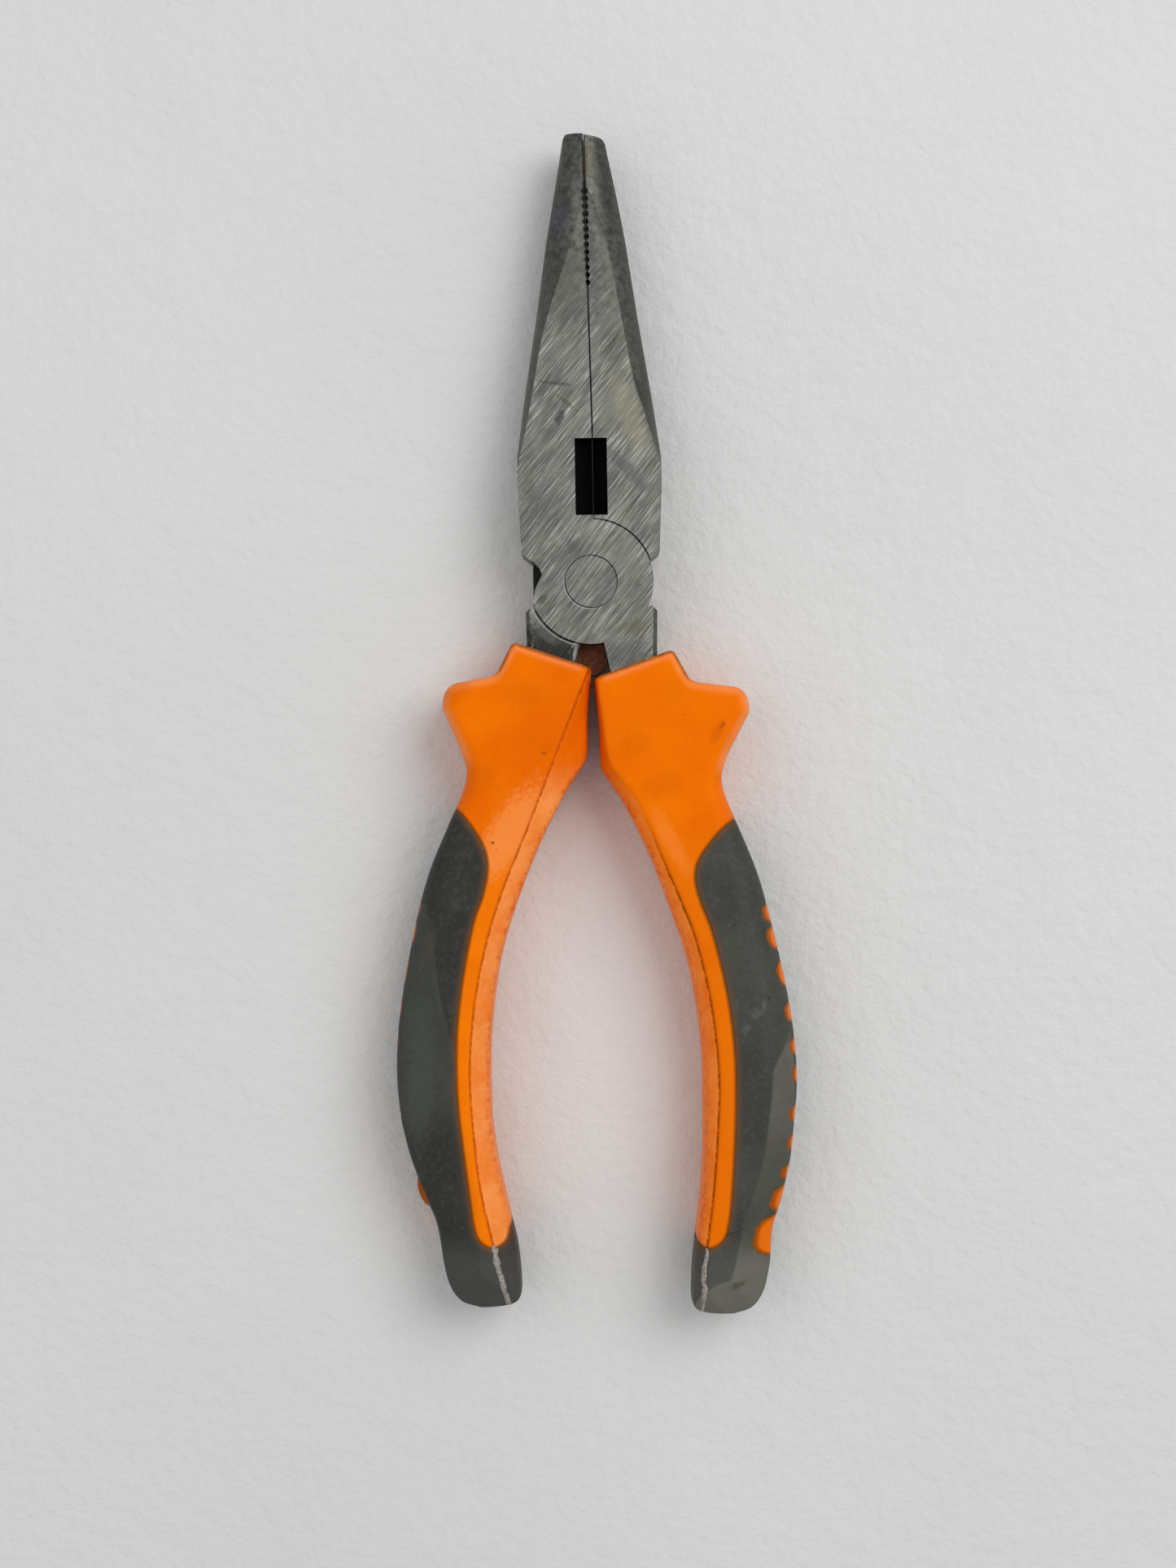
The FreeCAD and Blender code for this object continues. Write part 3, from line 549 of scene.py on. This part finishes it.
def make_fin(label, plan):
    """The ragged fin of moulding flash that stands on the tail's parting line."""
    side = SIDES[label]
    spots = np.array(FINS[label])
    random = np.random.default_rng(11 + side)
    count, around = FIN_RINGS, FIN_SIDES
    y = np.linspace(spots[0, 0], spots[-1, 0], count)
    parting = smooth_path(CREASE[label])[::-1]
    bends = random.normal(0, FIN_WANDER, FIN_BENDS)
    wander = np.interp(y, np.linspace(y[-1], y[0], FIN_BENDS), bends)
    x = np.interp(y, parting[:, 1], parting[:, 0]) + wander
    half = np.interp(-y, -spots[:, 0], spots[:, 1]) * random.uniform(0.8, 1.15, count)
    high = np.interp(-y, -spots[:, 0], spots[:, 2]) * random.uniform(0.85, 1.1, count)
    # The grip's top along the fin, found by halving.
    low, top = np.zeros(count), np.full(count, GRIP_HALF)
    for _ in range(20):
        middle = (low + top) / 2
        outside = grip_form(x, y, middle, plan) > 0
        low, top = np.where(outside, low, middle), np.where(outside, middle, top)
    turns = np.linspace(0, 2 * math.pi, around, endpoint=False)
    rings = [np.stack([x + half * math.cos(t) + FIN_LEAN * high * math.sin(t), y, low + high * math.sin(t)],
                      axis=1) for t in turns]
    points = np.stack(rings, axis=1).reshape(-1, 3)
    faces = [[ring * around + k, ring * around + (k + 1) % around,
              (ring + 1) * around + (k + 1) % around, (ring + 1) * around + k]
             for ring in range(count - 1) for k in range(around)]
    faces += [list(range(around))[::-1], list(range((count - 1) * around, count * around))]
    mesh = bpy.data.meshes.new(label + "_fin")
    mesh.from_pydata(sleeve_place(points, side).tolist(), [], [face[::side] for face in faces])
    mesh.polygons.foreach_set("use_smooth", np.ones(len(mesh.polygons), bool))
    fin = bpy.data.objects.new(label + "_fin", mesh)
    bpy.context.collection.objects.link(fin)
    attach(fin, BODY_OF[label])
    return fin


class Graph:
    """A short way to build a node material, with places in millimetres about the pivot."""

    def __init__(self, name):
        self.material = bpy.data.materials.new(name)
        self.material.use_nodes = True
        self.tree = self.material.node_tree
        self.shader = self.tree.nodes["Principled BSDF"]
        spot = self.node("TexCoord")
        offset = {0: spot.outputs["Object"], 1: PIVOT}
        from_pivot = self.node("VectorMath", offset, operation="SUBTRACT").outputs[0]
        self.place = self.node("VectorMath", {0: from_pivot, "Scale": 1 / MM}, operation="SCALE").outputs[0]
        self.x, self.y, self.z = self.node("SeparateXYZ", {0: self.place}).outputs
        self.up = self.node("SeparateXYZ", {0: spot.outputs["Normal"]}).outputs[2]

    def node(self, kind, inputs=None, **settings):
        node = self.tree.nodes.new("ShaderNode" + kind)
        for key, value in settings.items():
            setattr(node, key, value)
        for key, value in (inputs or {}).items():
            self.put(node.inputs[key], value)
        return node

    def put(self, socket, value):
        if isinstance(value, bpy.types.NodeSocket):
            self.tree.links.new(value, socket)
        else:
            socket.default_value = value

    def math(self, operation, a, b=0.0, c=0.0):
        return self.node("Math", {0: a, 1: b, 2: c}, operation=operation).outputs[0]

    def times(self, *factors):
        total = factors[0]
        for factor in factors[1:]:
            total = self.math("MULTIPLY", total, factor)
        return total

    def mix(self, factor, a, b):
        node = self.node("Mix", data_type="RGBA")
        self.put(node.inputs[0], factor)
        self.put(node.inputs[6], a)
        self.put(node.inputs[7], b)
        return node.outputs[2]

    def ramp(self, value, low, high, start=0.0, end=1.0):
        """A smooth change from start to end as value goes from low to high."""
        inputs = {0: value, 1: low, 2: high, 3: start, 4: end}
        return self.node("MapRange", inputs, interpolation_type="SMOOTHSTEP").outputs[0]

    def within(self, value, middle, half, blur):
        """1 where the value is within half of the middle."""
        gap = self.math("ABSOLUTE", self.math("SUBTRACT", value, middle))
        return self.ramp(gap, half + blur, half - blur)

    def inside_box(self, x, half_wide, y, half_long, blur_x, blur_y):
        """1 inside a box seen from above."""
        across = self.within(self.x, x, half_wide, blur_x)
        return self.times(across, self.within(self.y, y, half_long, blur_y))

    def noise(self, scale, detail=4.0, roughness=0.55, place=None):
        inputs = {"Vector": place or self.place, "Scale": scale, "Detail": detail, "Roughness": roughness}
        return self.node("TexNoise", inputs).outputs["Fac"]

    def streaks(self, degrees, along, across, seed):
        """Noise drawn out in one direction across the top."""
        c = math.cos(math.radians(degrees))
        s = math.sin(math.radians(degrees))
        ahead = self.math("MULTIPLY_ADD", self.x, c * along, self.math("MULTIPLY", self.y, s * along))
        aside = self.math("MULTIPLY_ADD", self.y, c * across, self.math("MULTIPLY", self.x, -s * across))
        deep = self.math("MULTIPLY_ADD", self.z, along, seed)
        place = self.node("CombineXYZ", {0: ahead, 1: aside, 2: deep}).outputs[0]
        return self.noise(1.0, 3, 0.62, place)

    def patch(self, x, y, half_long, half_wide, degrees, ragged):
        """1 in the middle of a ragged oval and 0 outside it; degrees is its long side's direction."""
        c = math.cos(math.radians(degrees))
        s = math.sin(math.radians(degrees))
        dx = self.math("SUBTRACT", self.x, x)
        dy = self.math("SUBTRACT", self.y, y)
        ahead = self.math("MULTIPLY_ADD", dx, c / half_long, self.math("MULTIPLY", dy, s / half_long))
        aside = self.math("MULTIPLY_ADD", dy, c / half_wide, self.math("MULTIPLY", dx, -s / half_wide))
        away = self.math("SQRT", self.math("MULTIPLY_ADD", ahead, ahead, self.times(aside, aside)))
        return self.ramp(self.math("ADD", away, ragged), 1.25, 0.45)

    def overlaid(self, base, patch_list):
        """The base with patches of other colours laid over its upper side."""
        ragged = self.math("MULTIPLY_ADD", self.noise(1.4, 5, 0.65), 1.6, -0.8)
        on_top = self.ramp(self.z, 0.5, 2.5)
        for x, y, half_long, half_wide, degrees, shade, strength in patch_list:
            mask = self.patch(x, y, half_long, half_wide, degrees, ragged)
            base = self.mix(self.times(mask, on_top, strength), base, colour(*shade))
        return base

    def note(self, name):
        return self.node("Attribute", attribute_name=name).outputs["Fac"]

    def bump(self, height, strength, distance, normal=None):
        inputs = {"Height": height, "Strength": strength, "Distance": distance}
        if normal is not None:
            inputs["Normal"] = normal
        return self.node("Bump", inputs).outputs[0]

    def finish(self, base, roughness, normal, metallic=0.0, specular=0.5):
        self.put(self.shader.inputs["Base Color"], base)
        self.put(self.shader.inputs["Roughness"], roughness)
        self.put(self.shader.inputs["Normal"], normal)
        self.put(self.shader.inputs["Metallic"], metallic)
        self.put(self.shader.inputs["Specular IOR Level"], specular)
        return self.material


def colour(red, green, blue):
    """A display colour from 0 to 255 as the linear colour that shaders use."""
    linear = [((c / 255 + 0.055) / 1.055) ** 2.4 if c > 10 else c / 255 / 12.92 for c in (red, green, blue)]
    return (*linear, 1.0)


def orange_material(label):
    """Firm glossy orange, with its inner bevel painted paler as if lit, painted shade at the bevel's foot
    and along the grey layer's edge, a painted highlight on the guards' rims, grease smudges and a dirty
    seam.
    """
    g = Graph(label + "_orange")
    broad = g.noise(0.07, 5)
    cloudy = g.noise(0.28, 5, 0.6)
    below = g.note("below")
    crease = g.note("crease")
    base = g.mix(g.ramp(broad, 0.32, 0.7), colour(232, 100, 0), colour(243, 116, 0))
    strip = g.ramp(below, 38.0, 52.0)
    base = g.mix(g.times(strip, g.ramp(cloudy, 0.3, 0.7, 0.55, 1.0)), base, colour(*STRIP_COLOUR[label]))
    # Painted light: the inner bevel paler, as lit and reflecting the pale room.
    bevel_lit = g.mix(g.ramp(g.noise(0.22, 6, 0.72), 0.3, 0.7), colour(*BEVEL_LIT_COLOURS[label][0]),
                 colour(*BEVEL_LIT_COLOURS[label][1]))
    inner = g.ramp(crease, 0.15, -0.5)
    base = g.mix(g.times(inner, g.ramp(below, 30.0, 40.0, 0.0, 0.95)), base, bevel_lit)
    upper = g.ramp(g.note("reach"), 2.5, 6.5, 0.25, 1.0)
    lumpy = g.ramp(g.noise(0.9, 4, 0.7), 0.42, 0.62)
    # Painted shade: the bevel darker towards its foot, where it turns away from the light.
    inner_foot_shade = g.times(inner, g.ramp(g.note("edge"), 1.2, 0.2), lumpy, upper)
    base = g.mix(g.times(inner_foot_shade, 0.7), base, colour(200, 74, 16))
    # Painted highlight along the guards' outer rims.
    rim = g.times(g.ramp(g.note("edge"), 1.9, 0.4), g.ramp(below, 34.0, 30.0), g.ramp(crease, 0.5, 2.0))
    base = g.mix(g.times(rim, 0.65), base, colour(252, 150, 84))
    base = g.overlaid(base, SLEEVE_STAINS[label])
    grease = g.times(g.ramp(cloudy, 0.52, 0.72), g.ramp(below, 48.0, 36.0))
    base = g.mix(g.times(grease, 0.25), base, colour(206, 88, 0))
    specks = g.ramp(g.noise(1.9, 2, 0.5), 0.735, 0.78)
    base = g.mix(g.times(specks, 0.6), base, colour(120, 48, 10))
    lumps = g.noise(1.3, 4, 0.7)
    seam_gap = g.math("ABSOLUTE", g.math("ADD", crease, g.math("MULTIPLY_ADD", lumps, 0.5, -0.25)))
    seam = g.times(g.ramp(seam_gap, 0.32, 0.06), g.ramp(lumps, 0.36, 0.56, 0.3, 0.85))
    seam = g.times(seam, g.ramp(g.note("reach"), 4.5, 6.0))
    base = g.mix(g.times(seam, g.ramp(below, *SEAM_START[label])), base, colour(*SEAM_COLOUR[label]))
    soft = g.note("soft")
    # Painted shade: a dark band on the orange along the grey layer's edge and round its windows.
    border = g.ramp(soft, -0.45, 0.05)
    base = g.mix(g.times(border, 0.8), base, colour(122, 60, 10))
    dirty_top = g.times(g.ramp(g.note("edge"), 0.9, 0.2), g.ramp(below, 17.5, 15.5))
    dirty_top = g.times(dirty_top, g.ramp(lumps, 0.3, 0.55, 0.5, 1.0))
    dirty_top = g.times(dirty_top, g.ramp(g.note("reach"), 6.4, 8.2, 0.12, 0.75))
    base = g.mix(dirty_top, base, colour(112, 50, 10))
    grain = g.bump(g.noise(7.0, 3), 0.22, 0.00005)
    relief = g.bump(g.math("ADD", cloudy, g.times(lumps, 0.15)), 0.25, 0.0004, grain)
    g.put(g.shader.inputs["Subsurface Weight"], 0.1)
    g.put(g.shader.inputs["Subsurface Radius"], (0.0016, 0.0006, 0.0002))
    g.put(g.shader.inputs["Specular Tint"], (1.0, 0.5, 0.06, 1.0))
    return g.finish(base, g.ramp(cloudy, 0.3, 0.7, 0.42, 0.56), relief, specular=0.3)


def grey_material(label):
    """Soft grey rubber: orange shines through its thin edge, its facets are painted lighter as if lit, and
    it is scuffed and dusty.
    """
    g = Graph(label + "_grey")
    broad = g.noise(0.08, 5)
    mottle = g.noise(1.1, 4, 0.6)
    base = g.mix(g.ramp(broad, 0.3, 0.72), colour(*GREY_COLOURS[label][0]), colour(*GREY_COLOURS[label][1]))
    base = g.mix(g.times(g.ramp(mottle, 0.45, 0.75), 0.2), base, colour(98, 99, 95))
    tail = g.ramp(g.note("below"), 112.0, 119.0)
    base = g.mix(g.times(tail, 0.45), base, colour(86, 86, 82))
    facet = g.ramp(g.note("facet"), -0.4, -0.08)
    fade = g.ramp(g.note("below"), 90.0, 100.0, 1.0, 0.35)
    fade = g.math("MAXIMUM", fade, g.ramp(g.note("below"), 112.0, 119.0, 0.35, FACET_TAIL[label]))
    # Painted light: the facets lighter where they tilt towards the lamps.
    pale = g.times(g.ramp(broad, 0.3, 0.7, 0.35, 0.6), fade)
    base = g.mix(g.times(facet, pale), base, colour(*FACET_LIT_COLOUR[label]))
    feather = g.ramp(g.math("ADD", g.note("border"), g.ramp(mottle, 0.3, 0.7, -0.3, 0.3)), 1.9, 0.0)
    base = g.mix(g.times(feather, feather, 0.7), base, colour(112, 66, 22))
    base = g.overlaid(base, LAYER_STAINS[label])
    dust = g.ramp(g.noise(3.1, 3), 0.66, 0.76)
    base = g.mix(g.times(dust, 0.14), base, colour(150, 150, 144))
    specks = g.ramp(g.noise(2.3, 2, 0.5), 0.745, 0.78)
    base = g.mix(g.times(specks, 0.5), base, colour(22, 22, 20))
    grain = g.bump(g.noise(9.0, 3), 0.3, 0.00005)
    relief = g.bump(mottle, 0.12, 0.0002, grain)
    return g.finish(base, g.ramp(broad, 0.3, 0.7, 0.5, 0.64), relief, specular=0.28)


def fin_material():
    """Thin torn rubber, stretched pale and dirty."""
    g = Graph("pale_fin")
    fray = g.noise(2.6, 4, 0.65)
    base = g.mix(g.ramp(fray, 0.35, 0.65), colour(112, 106, 97), colour(176, 170, 160))
    return g.finish(base, 0.6, g.bump(fray, 0.5, 0.0003), specular=0.3)


def ground_marks(g, base, flat, mottle):
    """Grinding scratches, bright and dark, that rise to the right across the flat faces."""
    rise = g.streaks(55, 0.16, 3.1, 1.0)
    hair = g.streaks(51, 0.16, 5.4, 7.0)
    cross = g.streaks(-38, 0.2, 3.2, 3.0)
    fade = g.times(flat, g.ramp(mottle, 0.3, 0.6, 0.6, 1.0))
    base = g.mix(g.times(g.ramp(rise, 0.52, 0.3), fade, 0.34), base, colour(72, 73, 68))
    base = g.mix(g.times(g.ramp(rise, 0.53, 0.7), fade, 0.22), base, colour(164, 165, 157))
    base = g.mix(g.times(g.ramp(hair, 0.48, 0.34), fade, 0.75), base, colour(54, 55, 51))
    base = g.mix(g.times(g.ramp(hair, 0.53, 0.67), fade, 0.68), base, colour(196, 197, 189))
    base = g.mix(g.times(g.ramp(cross, 0.64, 0.76), fade, 0.4), base, colour(176, 177, 168))
    return base, g.math("ADD", g.times(rise, 0.5), g.times(hair, 0.5))


def edge_lines(g, base):
    """Dirt in the joint lines round the pivot, and painted highlights on the edges beside them."""
    radius = g.math("SQRT", g.math("MULTIPLY_ADD", g.x, g.x, g.times(g.y, g.y)))
    slant = g.math("DIVIDE", g.math("ADD", g.x, g.y), g.math("MULTIPLY_ADD", radius, math.sqrt(2), 0.01))
    broken = g.ramp(g.noise(1.6, 4, 0.7), 0.34, 0.52, 0.45, 1.0)
    arcs = g.times(g.ramp(g.math("ABSOLUTE", slant), 0.45, 0.85), broken)
    on_top = g.ramp(g.z, 4.6, 5.0)
    ring = g.times(g.within(radius, RIVET_HEAD, 0.1, 0.06), g.math("MAXIMUM", arcs, 0.22), on_top)
    base = g.mix(g.times(ring, 0.9), base, colour(24, 24, 22))
    # A painted highlight on the lower left of the rivet head's edge.
    bright = g.times(g.within(radius, RIVET_HEAD + 0.22, 0.07, 0.05), g.ramp(slant, -0.4, -0.9), on_top)
    base = g.mix(g.times(bright, 0.5), base, colour(196, 197, 188))
    lap = g.times(g.within(radius, DISC_RADIUS, 0.16, 0.07), broken, on_top)
    upper_right = g.math("MULTIPLY", g.ramp(g.y, -1.0, 1.5), g.ramp(g.x, 1.0, 3.0))
    lower_left = g.math("MULTIPLY", g.ramp(g.y, -1.0, -3.5), g.ramp(g.x, -2.0, -3.5))
    lap = g.times(lap, g.math("MAXIMUM", upper_right, lower_left))
    base = g.mix(g.times(lap, 0.85), base, colour(22, 22, 20))
    # A painted highlight just outside the disc's edge, on the lower left.
    disc_edge_highlight = g.times(g.within(radius, DISC_RADIUS + 0.42, 0.1, 0.08), lower_left, on_top)
    return g.mix(g.times(disc_edge_highlight, 0.45), base, colour(190, 192, 184))


def jaw_gap(g, base):
    """Painted shade along the line where the jaws meet, wider at each tooth."""
    past_bend = g.math("MAXIMUM", g.math("SUBTRACT", g.y, GAP_BEND), 0.0)
    line = g.math("MULTIPLY_ADD", past_bend, -GAP_LEAN, GAP_X)
    away = g.math("ABSOLUTE", g.math("SUBTRACT", g.x, line))
    turn = g.math("MULTIPLY", g.math("SUBTRACT", g.y, TEETH_LOW), math.pi / TOOTH_PITCH)
    wave = g.math("ABSOLUTE", g.math("SINE", turn))
    toothed = g.within(g.y, (TEETH_LOW + TEETH_HIGH) / 2, (TEETH_HIGH - TEETH_LOW) / 2, 0.4)
    bite = g.times(wave, toothed, g.ramp(g.y, 54.0, 64.0, 0.22, 0.4))
    half = g.math("ADD", bite, g.ramp(g.y, 56.0, 72.0, 0.15, 0.26))
    # Painted shade in the gap between the jaws and between the teeth.
    gap_shade = g.times(g.ramp(g.math("SUBTRACT", away, half), 0.06, -0.06), g.ramp(g.y, 24.0, 25.5))
    return g.mix(g.times(gap_shade, 0.92), base, colour(14, 14, 13))


def hollows(g, base):
    """Painted shade inside the cutter window and the side notch, and in the fork between the shanks a dark
    brown that is painted shade tinted by orange bounce light, and rust.
    """
    sunk = g.ramp(g.math("ABSOLUTE", g.z), LEVER_TOP, LEVER_TOP - 0.17)
    # Painted shade on the walls of the cutter window and the side notch.
    window = g.times(g.inside_box(*CUTTER_WINDOW, 0.03, 0.03), sunk)
    base = g.mix(g.times(window, 0.93), base, colour(9, 9, 9))
    notch = g.times(g.inside_box(*SIDE_NOTCH, 0.05, 0.05), sunk)
    base = g.mix(g.times(notch, 0.93), base, colour(12, 12, 11))
    # Dark brown in the fork: painted shade tinted by orange bounce light, and rust.
    fork = g.times(g.inside_box(*SHANK_FORK, 0.1, 0.2), sunk)
    fork_shade_and_rust = g.mix(g.ramp(g.noise(1.1, 5, 0.7), 0.35, 0.65), colour(70, 34, 14), colour(104, 58, 32))
    return g.mix(g.times(fork, 0.95), base, fork_shade_and_rust)


def steel_material(name, patch_list):
    """Forged steel with ground faces, flanks and steep walls near the jaws painted darker as shade, pits,
    dark joint lines, local stain patches with a few painted highlights, and painted shade in the jaw gap
    and the hollows.
    """
    g = Graph(name)
    flat = g.ramp(g.math("ABSOLUTE", g.up), 0.955, 0.998)
    broad = g.noise(0.16, 5, 0.6)
    mottle = g.noise(0.85, 5, 0.66)
    face = g.mix(g.ramp(broad, 0.3, 0.7), colour(100, 101, 95), colour(124, 124, 117))
    # Painted shade: the flanks darker than the ground faces because of which way they face.
    flank_shaded = g.mix(g.ramp(mottle, 0.3, 0.7), colour(82, 81, 75), colour(108, 107, 99))
    base = g.mix(flat, flank_shaded, face)
    tip = g.ramp(g.y, 34.0, 60.0)
    smoky = g.mix(g.ramp(mottle, 0.34, 0.66), colour(62, 63, 58), colour(100, 101, 94))
    base = g.mix(g.times(tip, 0.85), base, smoky)
    # Painted shade: steep side walls near the jaws darker still.
    side_wall_shade = g.times(g.ramp(g.math("ABSOLUTE", g.up), 0.82, 0.3), g.ramp(g.y, 18.0, 24.0))
    base = g.mix(g.times(side_wall_shade, 0.5), base, colour(44, 44, 40))
    base, scratch = ground_marks(g, base, g.math("MULTIPLY", flat, g.ramp(tip, 0.0, 0.9, 1.0, 0.2)), mottle)
    base = g.overlaid(base, patch_list)
    pits = g.ramp(g.noise(1.5, 5, 0.72), 0.635, 0.7)
    base = g.mix(g.times(pits, g.ramp(flat, 0.0, 1.0, 0.3, 0.65)), base, colour(46, 45, 41))
    base = edge_lines(g, base)
    base = jaw_gap(g, base)
    base = hollows(g, base)
    rough = g.math("ADD", g.ramp(scratch, 0.3, 0.7, 0.36, 0.5), g.times(pits, 0.2))
    normal = g.bump(scratch, 0.3, 0.00003)
    normal = g.bump(mottle, 0.12, 0.00015, normal)
    return g.finish(base, rough, normal, metallic=0.85)


def floor_material():
    """Pale smooth hide with a very fine pebbled grain and a few soft wrinkles."""
    g = Graph("pale_floor")
    cells = {"Vector": g.place, "Scale": 0.42}
    pebble = g.node("TexVoronoi", cells, feature="SMOOTH_F1").outputs["Distance"]
    wrinkle = g.noise(0.09, 6, 0.62)
    fine = g.noise(0.8, 4, 0.6)
    height = g.math("MULTIPLY_ADD", pebble, 0.35, g.math("MULTIPLY_ADD", fine, 0.5, g.times(wrinkle, 1.6)))
    base = g.mix(g.ramp(g.noise(0.006, 3), 0.3, 0.7), colour(213, 214, 212), colour(217, 217, 216))
    return g.finish(base, 0.6, g.bump(height, 0.42, 0.0011), specular=0.2)


def gap_shade_material():
    """Near-black with brown patches: painted shade for the strip in the gap between the jaws."""
    g = Graph("jaw_gap_shade")
    sheet_blotches = g.noise(1.8, 4, 0.6)
    base = g.mix(g.ramp(sheet_blotches, 0.4, 0.7), colour(12, 12, 11), colour(40, 34, 26))
    return g.finish(base, g.ramp(sheet_blotches, 0.3, 0.7, 0.55, 0.8), g.bump(sheet_blotches, 0.4, 0.0002), specular=0.2)


def make_gap_shade():
    """A thin dark strip on the left jaw's face, put where the gap between the jaws lies in shade, which
    shuts out the light between the jaws.
    """
    low, high = SHADE_STRIP_LOW, SHADE_STRIP_HIGH
    rings = []
    for y in (SHADE_STRIP_START, GAP_BEND, SHADE_STRIP_END):
        line = GAP_X - GAP_LEAN * max(y - GAP_BEND, 0)
        near, far = line - SHADE_STRIP_LEFT, line + SHADE_STRIP_RIGHT
        rings.append([(near, y, low), (far, y, low), (far, y, high), (near, y, high)])
    points = np.array(rings).reshape(-1, 3) * MM + np.array(PIVOT)
    faces = [(0, 1, 2, 3), (11, 10, 9, 8)]
    for ring in (0, 4):
        faces += [(ring + k, ring + k + 4, ring + (k + 1) % 4 + 4, ring + (k + 1) % 4) for k in range(4)]
    mesh = bpy.data.meshes.new("jaw_gap_shade")
    mesh.from_pydata(points.tolist(), [], faces)
    strip = bpy.data.objects.new("jaw_gap_shade", mesh)
    bpy.context.collection.objects.link(strip)
    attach(strip, "front")
    paint(strip, gap_shade_material())


def make_floor():
    """A wide flat surface that the tool lies on."""
    half = FLOOR_HALF
    mesh = bpy.data.meshes.new("floor")
    corners = [(-half, -half, 0), (half, -half, 0), (half, half, 0), (-half, half, 0)]
    mesh.from_pydata(corners, [], [(0, 1, 2, 3)])
    floor = bpy.data.objects.new("floor", mesh)
    bpy.context.collection.objects.link(floor)
    mesh.materials.append(floor_material())


def make_lights():
    """A pale room with a large soft lamp above on the right and a weaker one on the left."""
    world = bpy.data.worlds.new("studio")
    world.use_nodes = True
    world.node_tree.nodes["Background"].inputs["Color"].default_value = (0.985, 0.992, 1.0, 1)
    world.node_tree.nodes["Background"].inputs["Strength"].default_value = 0.5
    bpy.context.scene.world = world
    for name, spot, size, power in LAMPS:
        light = bpy.data.lights.new(name, "AREA")
        light.size = size
        light.energy = power
        lamp = bpy.data.objects.new(name, light)
        lamp.location = spot
        lamp.rotation_euler = (-Vector(spot)).to_track_quat("-Z", "Y").to_euler()
        bpy.context.collection.objects.link(lamp)
    bpy.context.scene.view_settings.view_transform = "Standard"


def make_camera():
    """Straight above, turned so that the tool leans a little to the left."""
    lens = bpy.data.cameras.new("camera")
    lens.sensor_fit = "VERTICAL"
    lens.sensor_height = VIEW_SENSOR
    lens.lens = VIEW_SENSOR * VIEW_DISTANCE / VIEW_TALL
    camera = bpy.data.objects.new("camera", lens)
    camera.location = (PIVOT.x - VIEW_ASIDE, PIVOT.y - VIEW_BELOW, PIVOT.z + VIEW_DISTANCE)
    camera.rotation_euler = (0, 0, math.radians(VIEW_TURN))
    bpy.context.collection.objects.link(camera)
    bpy.context.scene.camera = camera


def paint(piece, material):
    """Gives a piece one material."""
    piece.data.materials.clear()
    piece.data.materials.append(material)


def main():
    bare = fin_material()
    for label in SIDES:
        plan = Plan(label)
        sleeve, layer = make_grip(label, plan)
        paint(sleeve, orange_material(label))
        paint(layer, grey_material(label))
        paint(make_fin(label, plan), bare)
    for node, patch_list in (("front_lever", FRONT_STAINS_AND_HIGHLIGHTS), ("rear_lever", REAR_STAINS_AND_HIGHLIGHTS), ("pivot_rivet", [])):
        material = steel_material(node + "_steel", patch_list)
        for slot in frame["nodes"][node].material_slots:
            slot.material = material
    make_gap_shade()
    make_floor()
    make_lights()
    make_camera()


main()
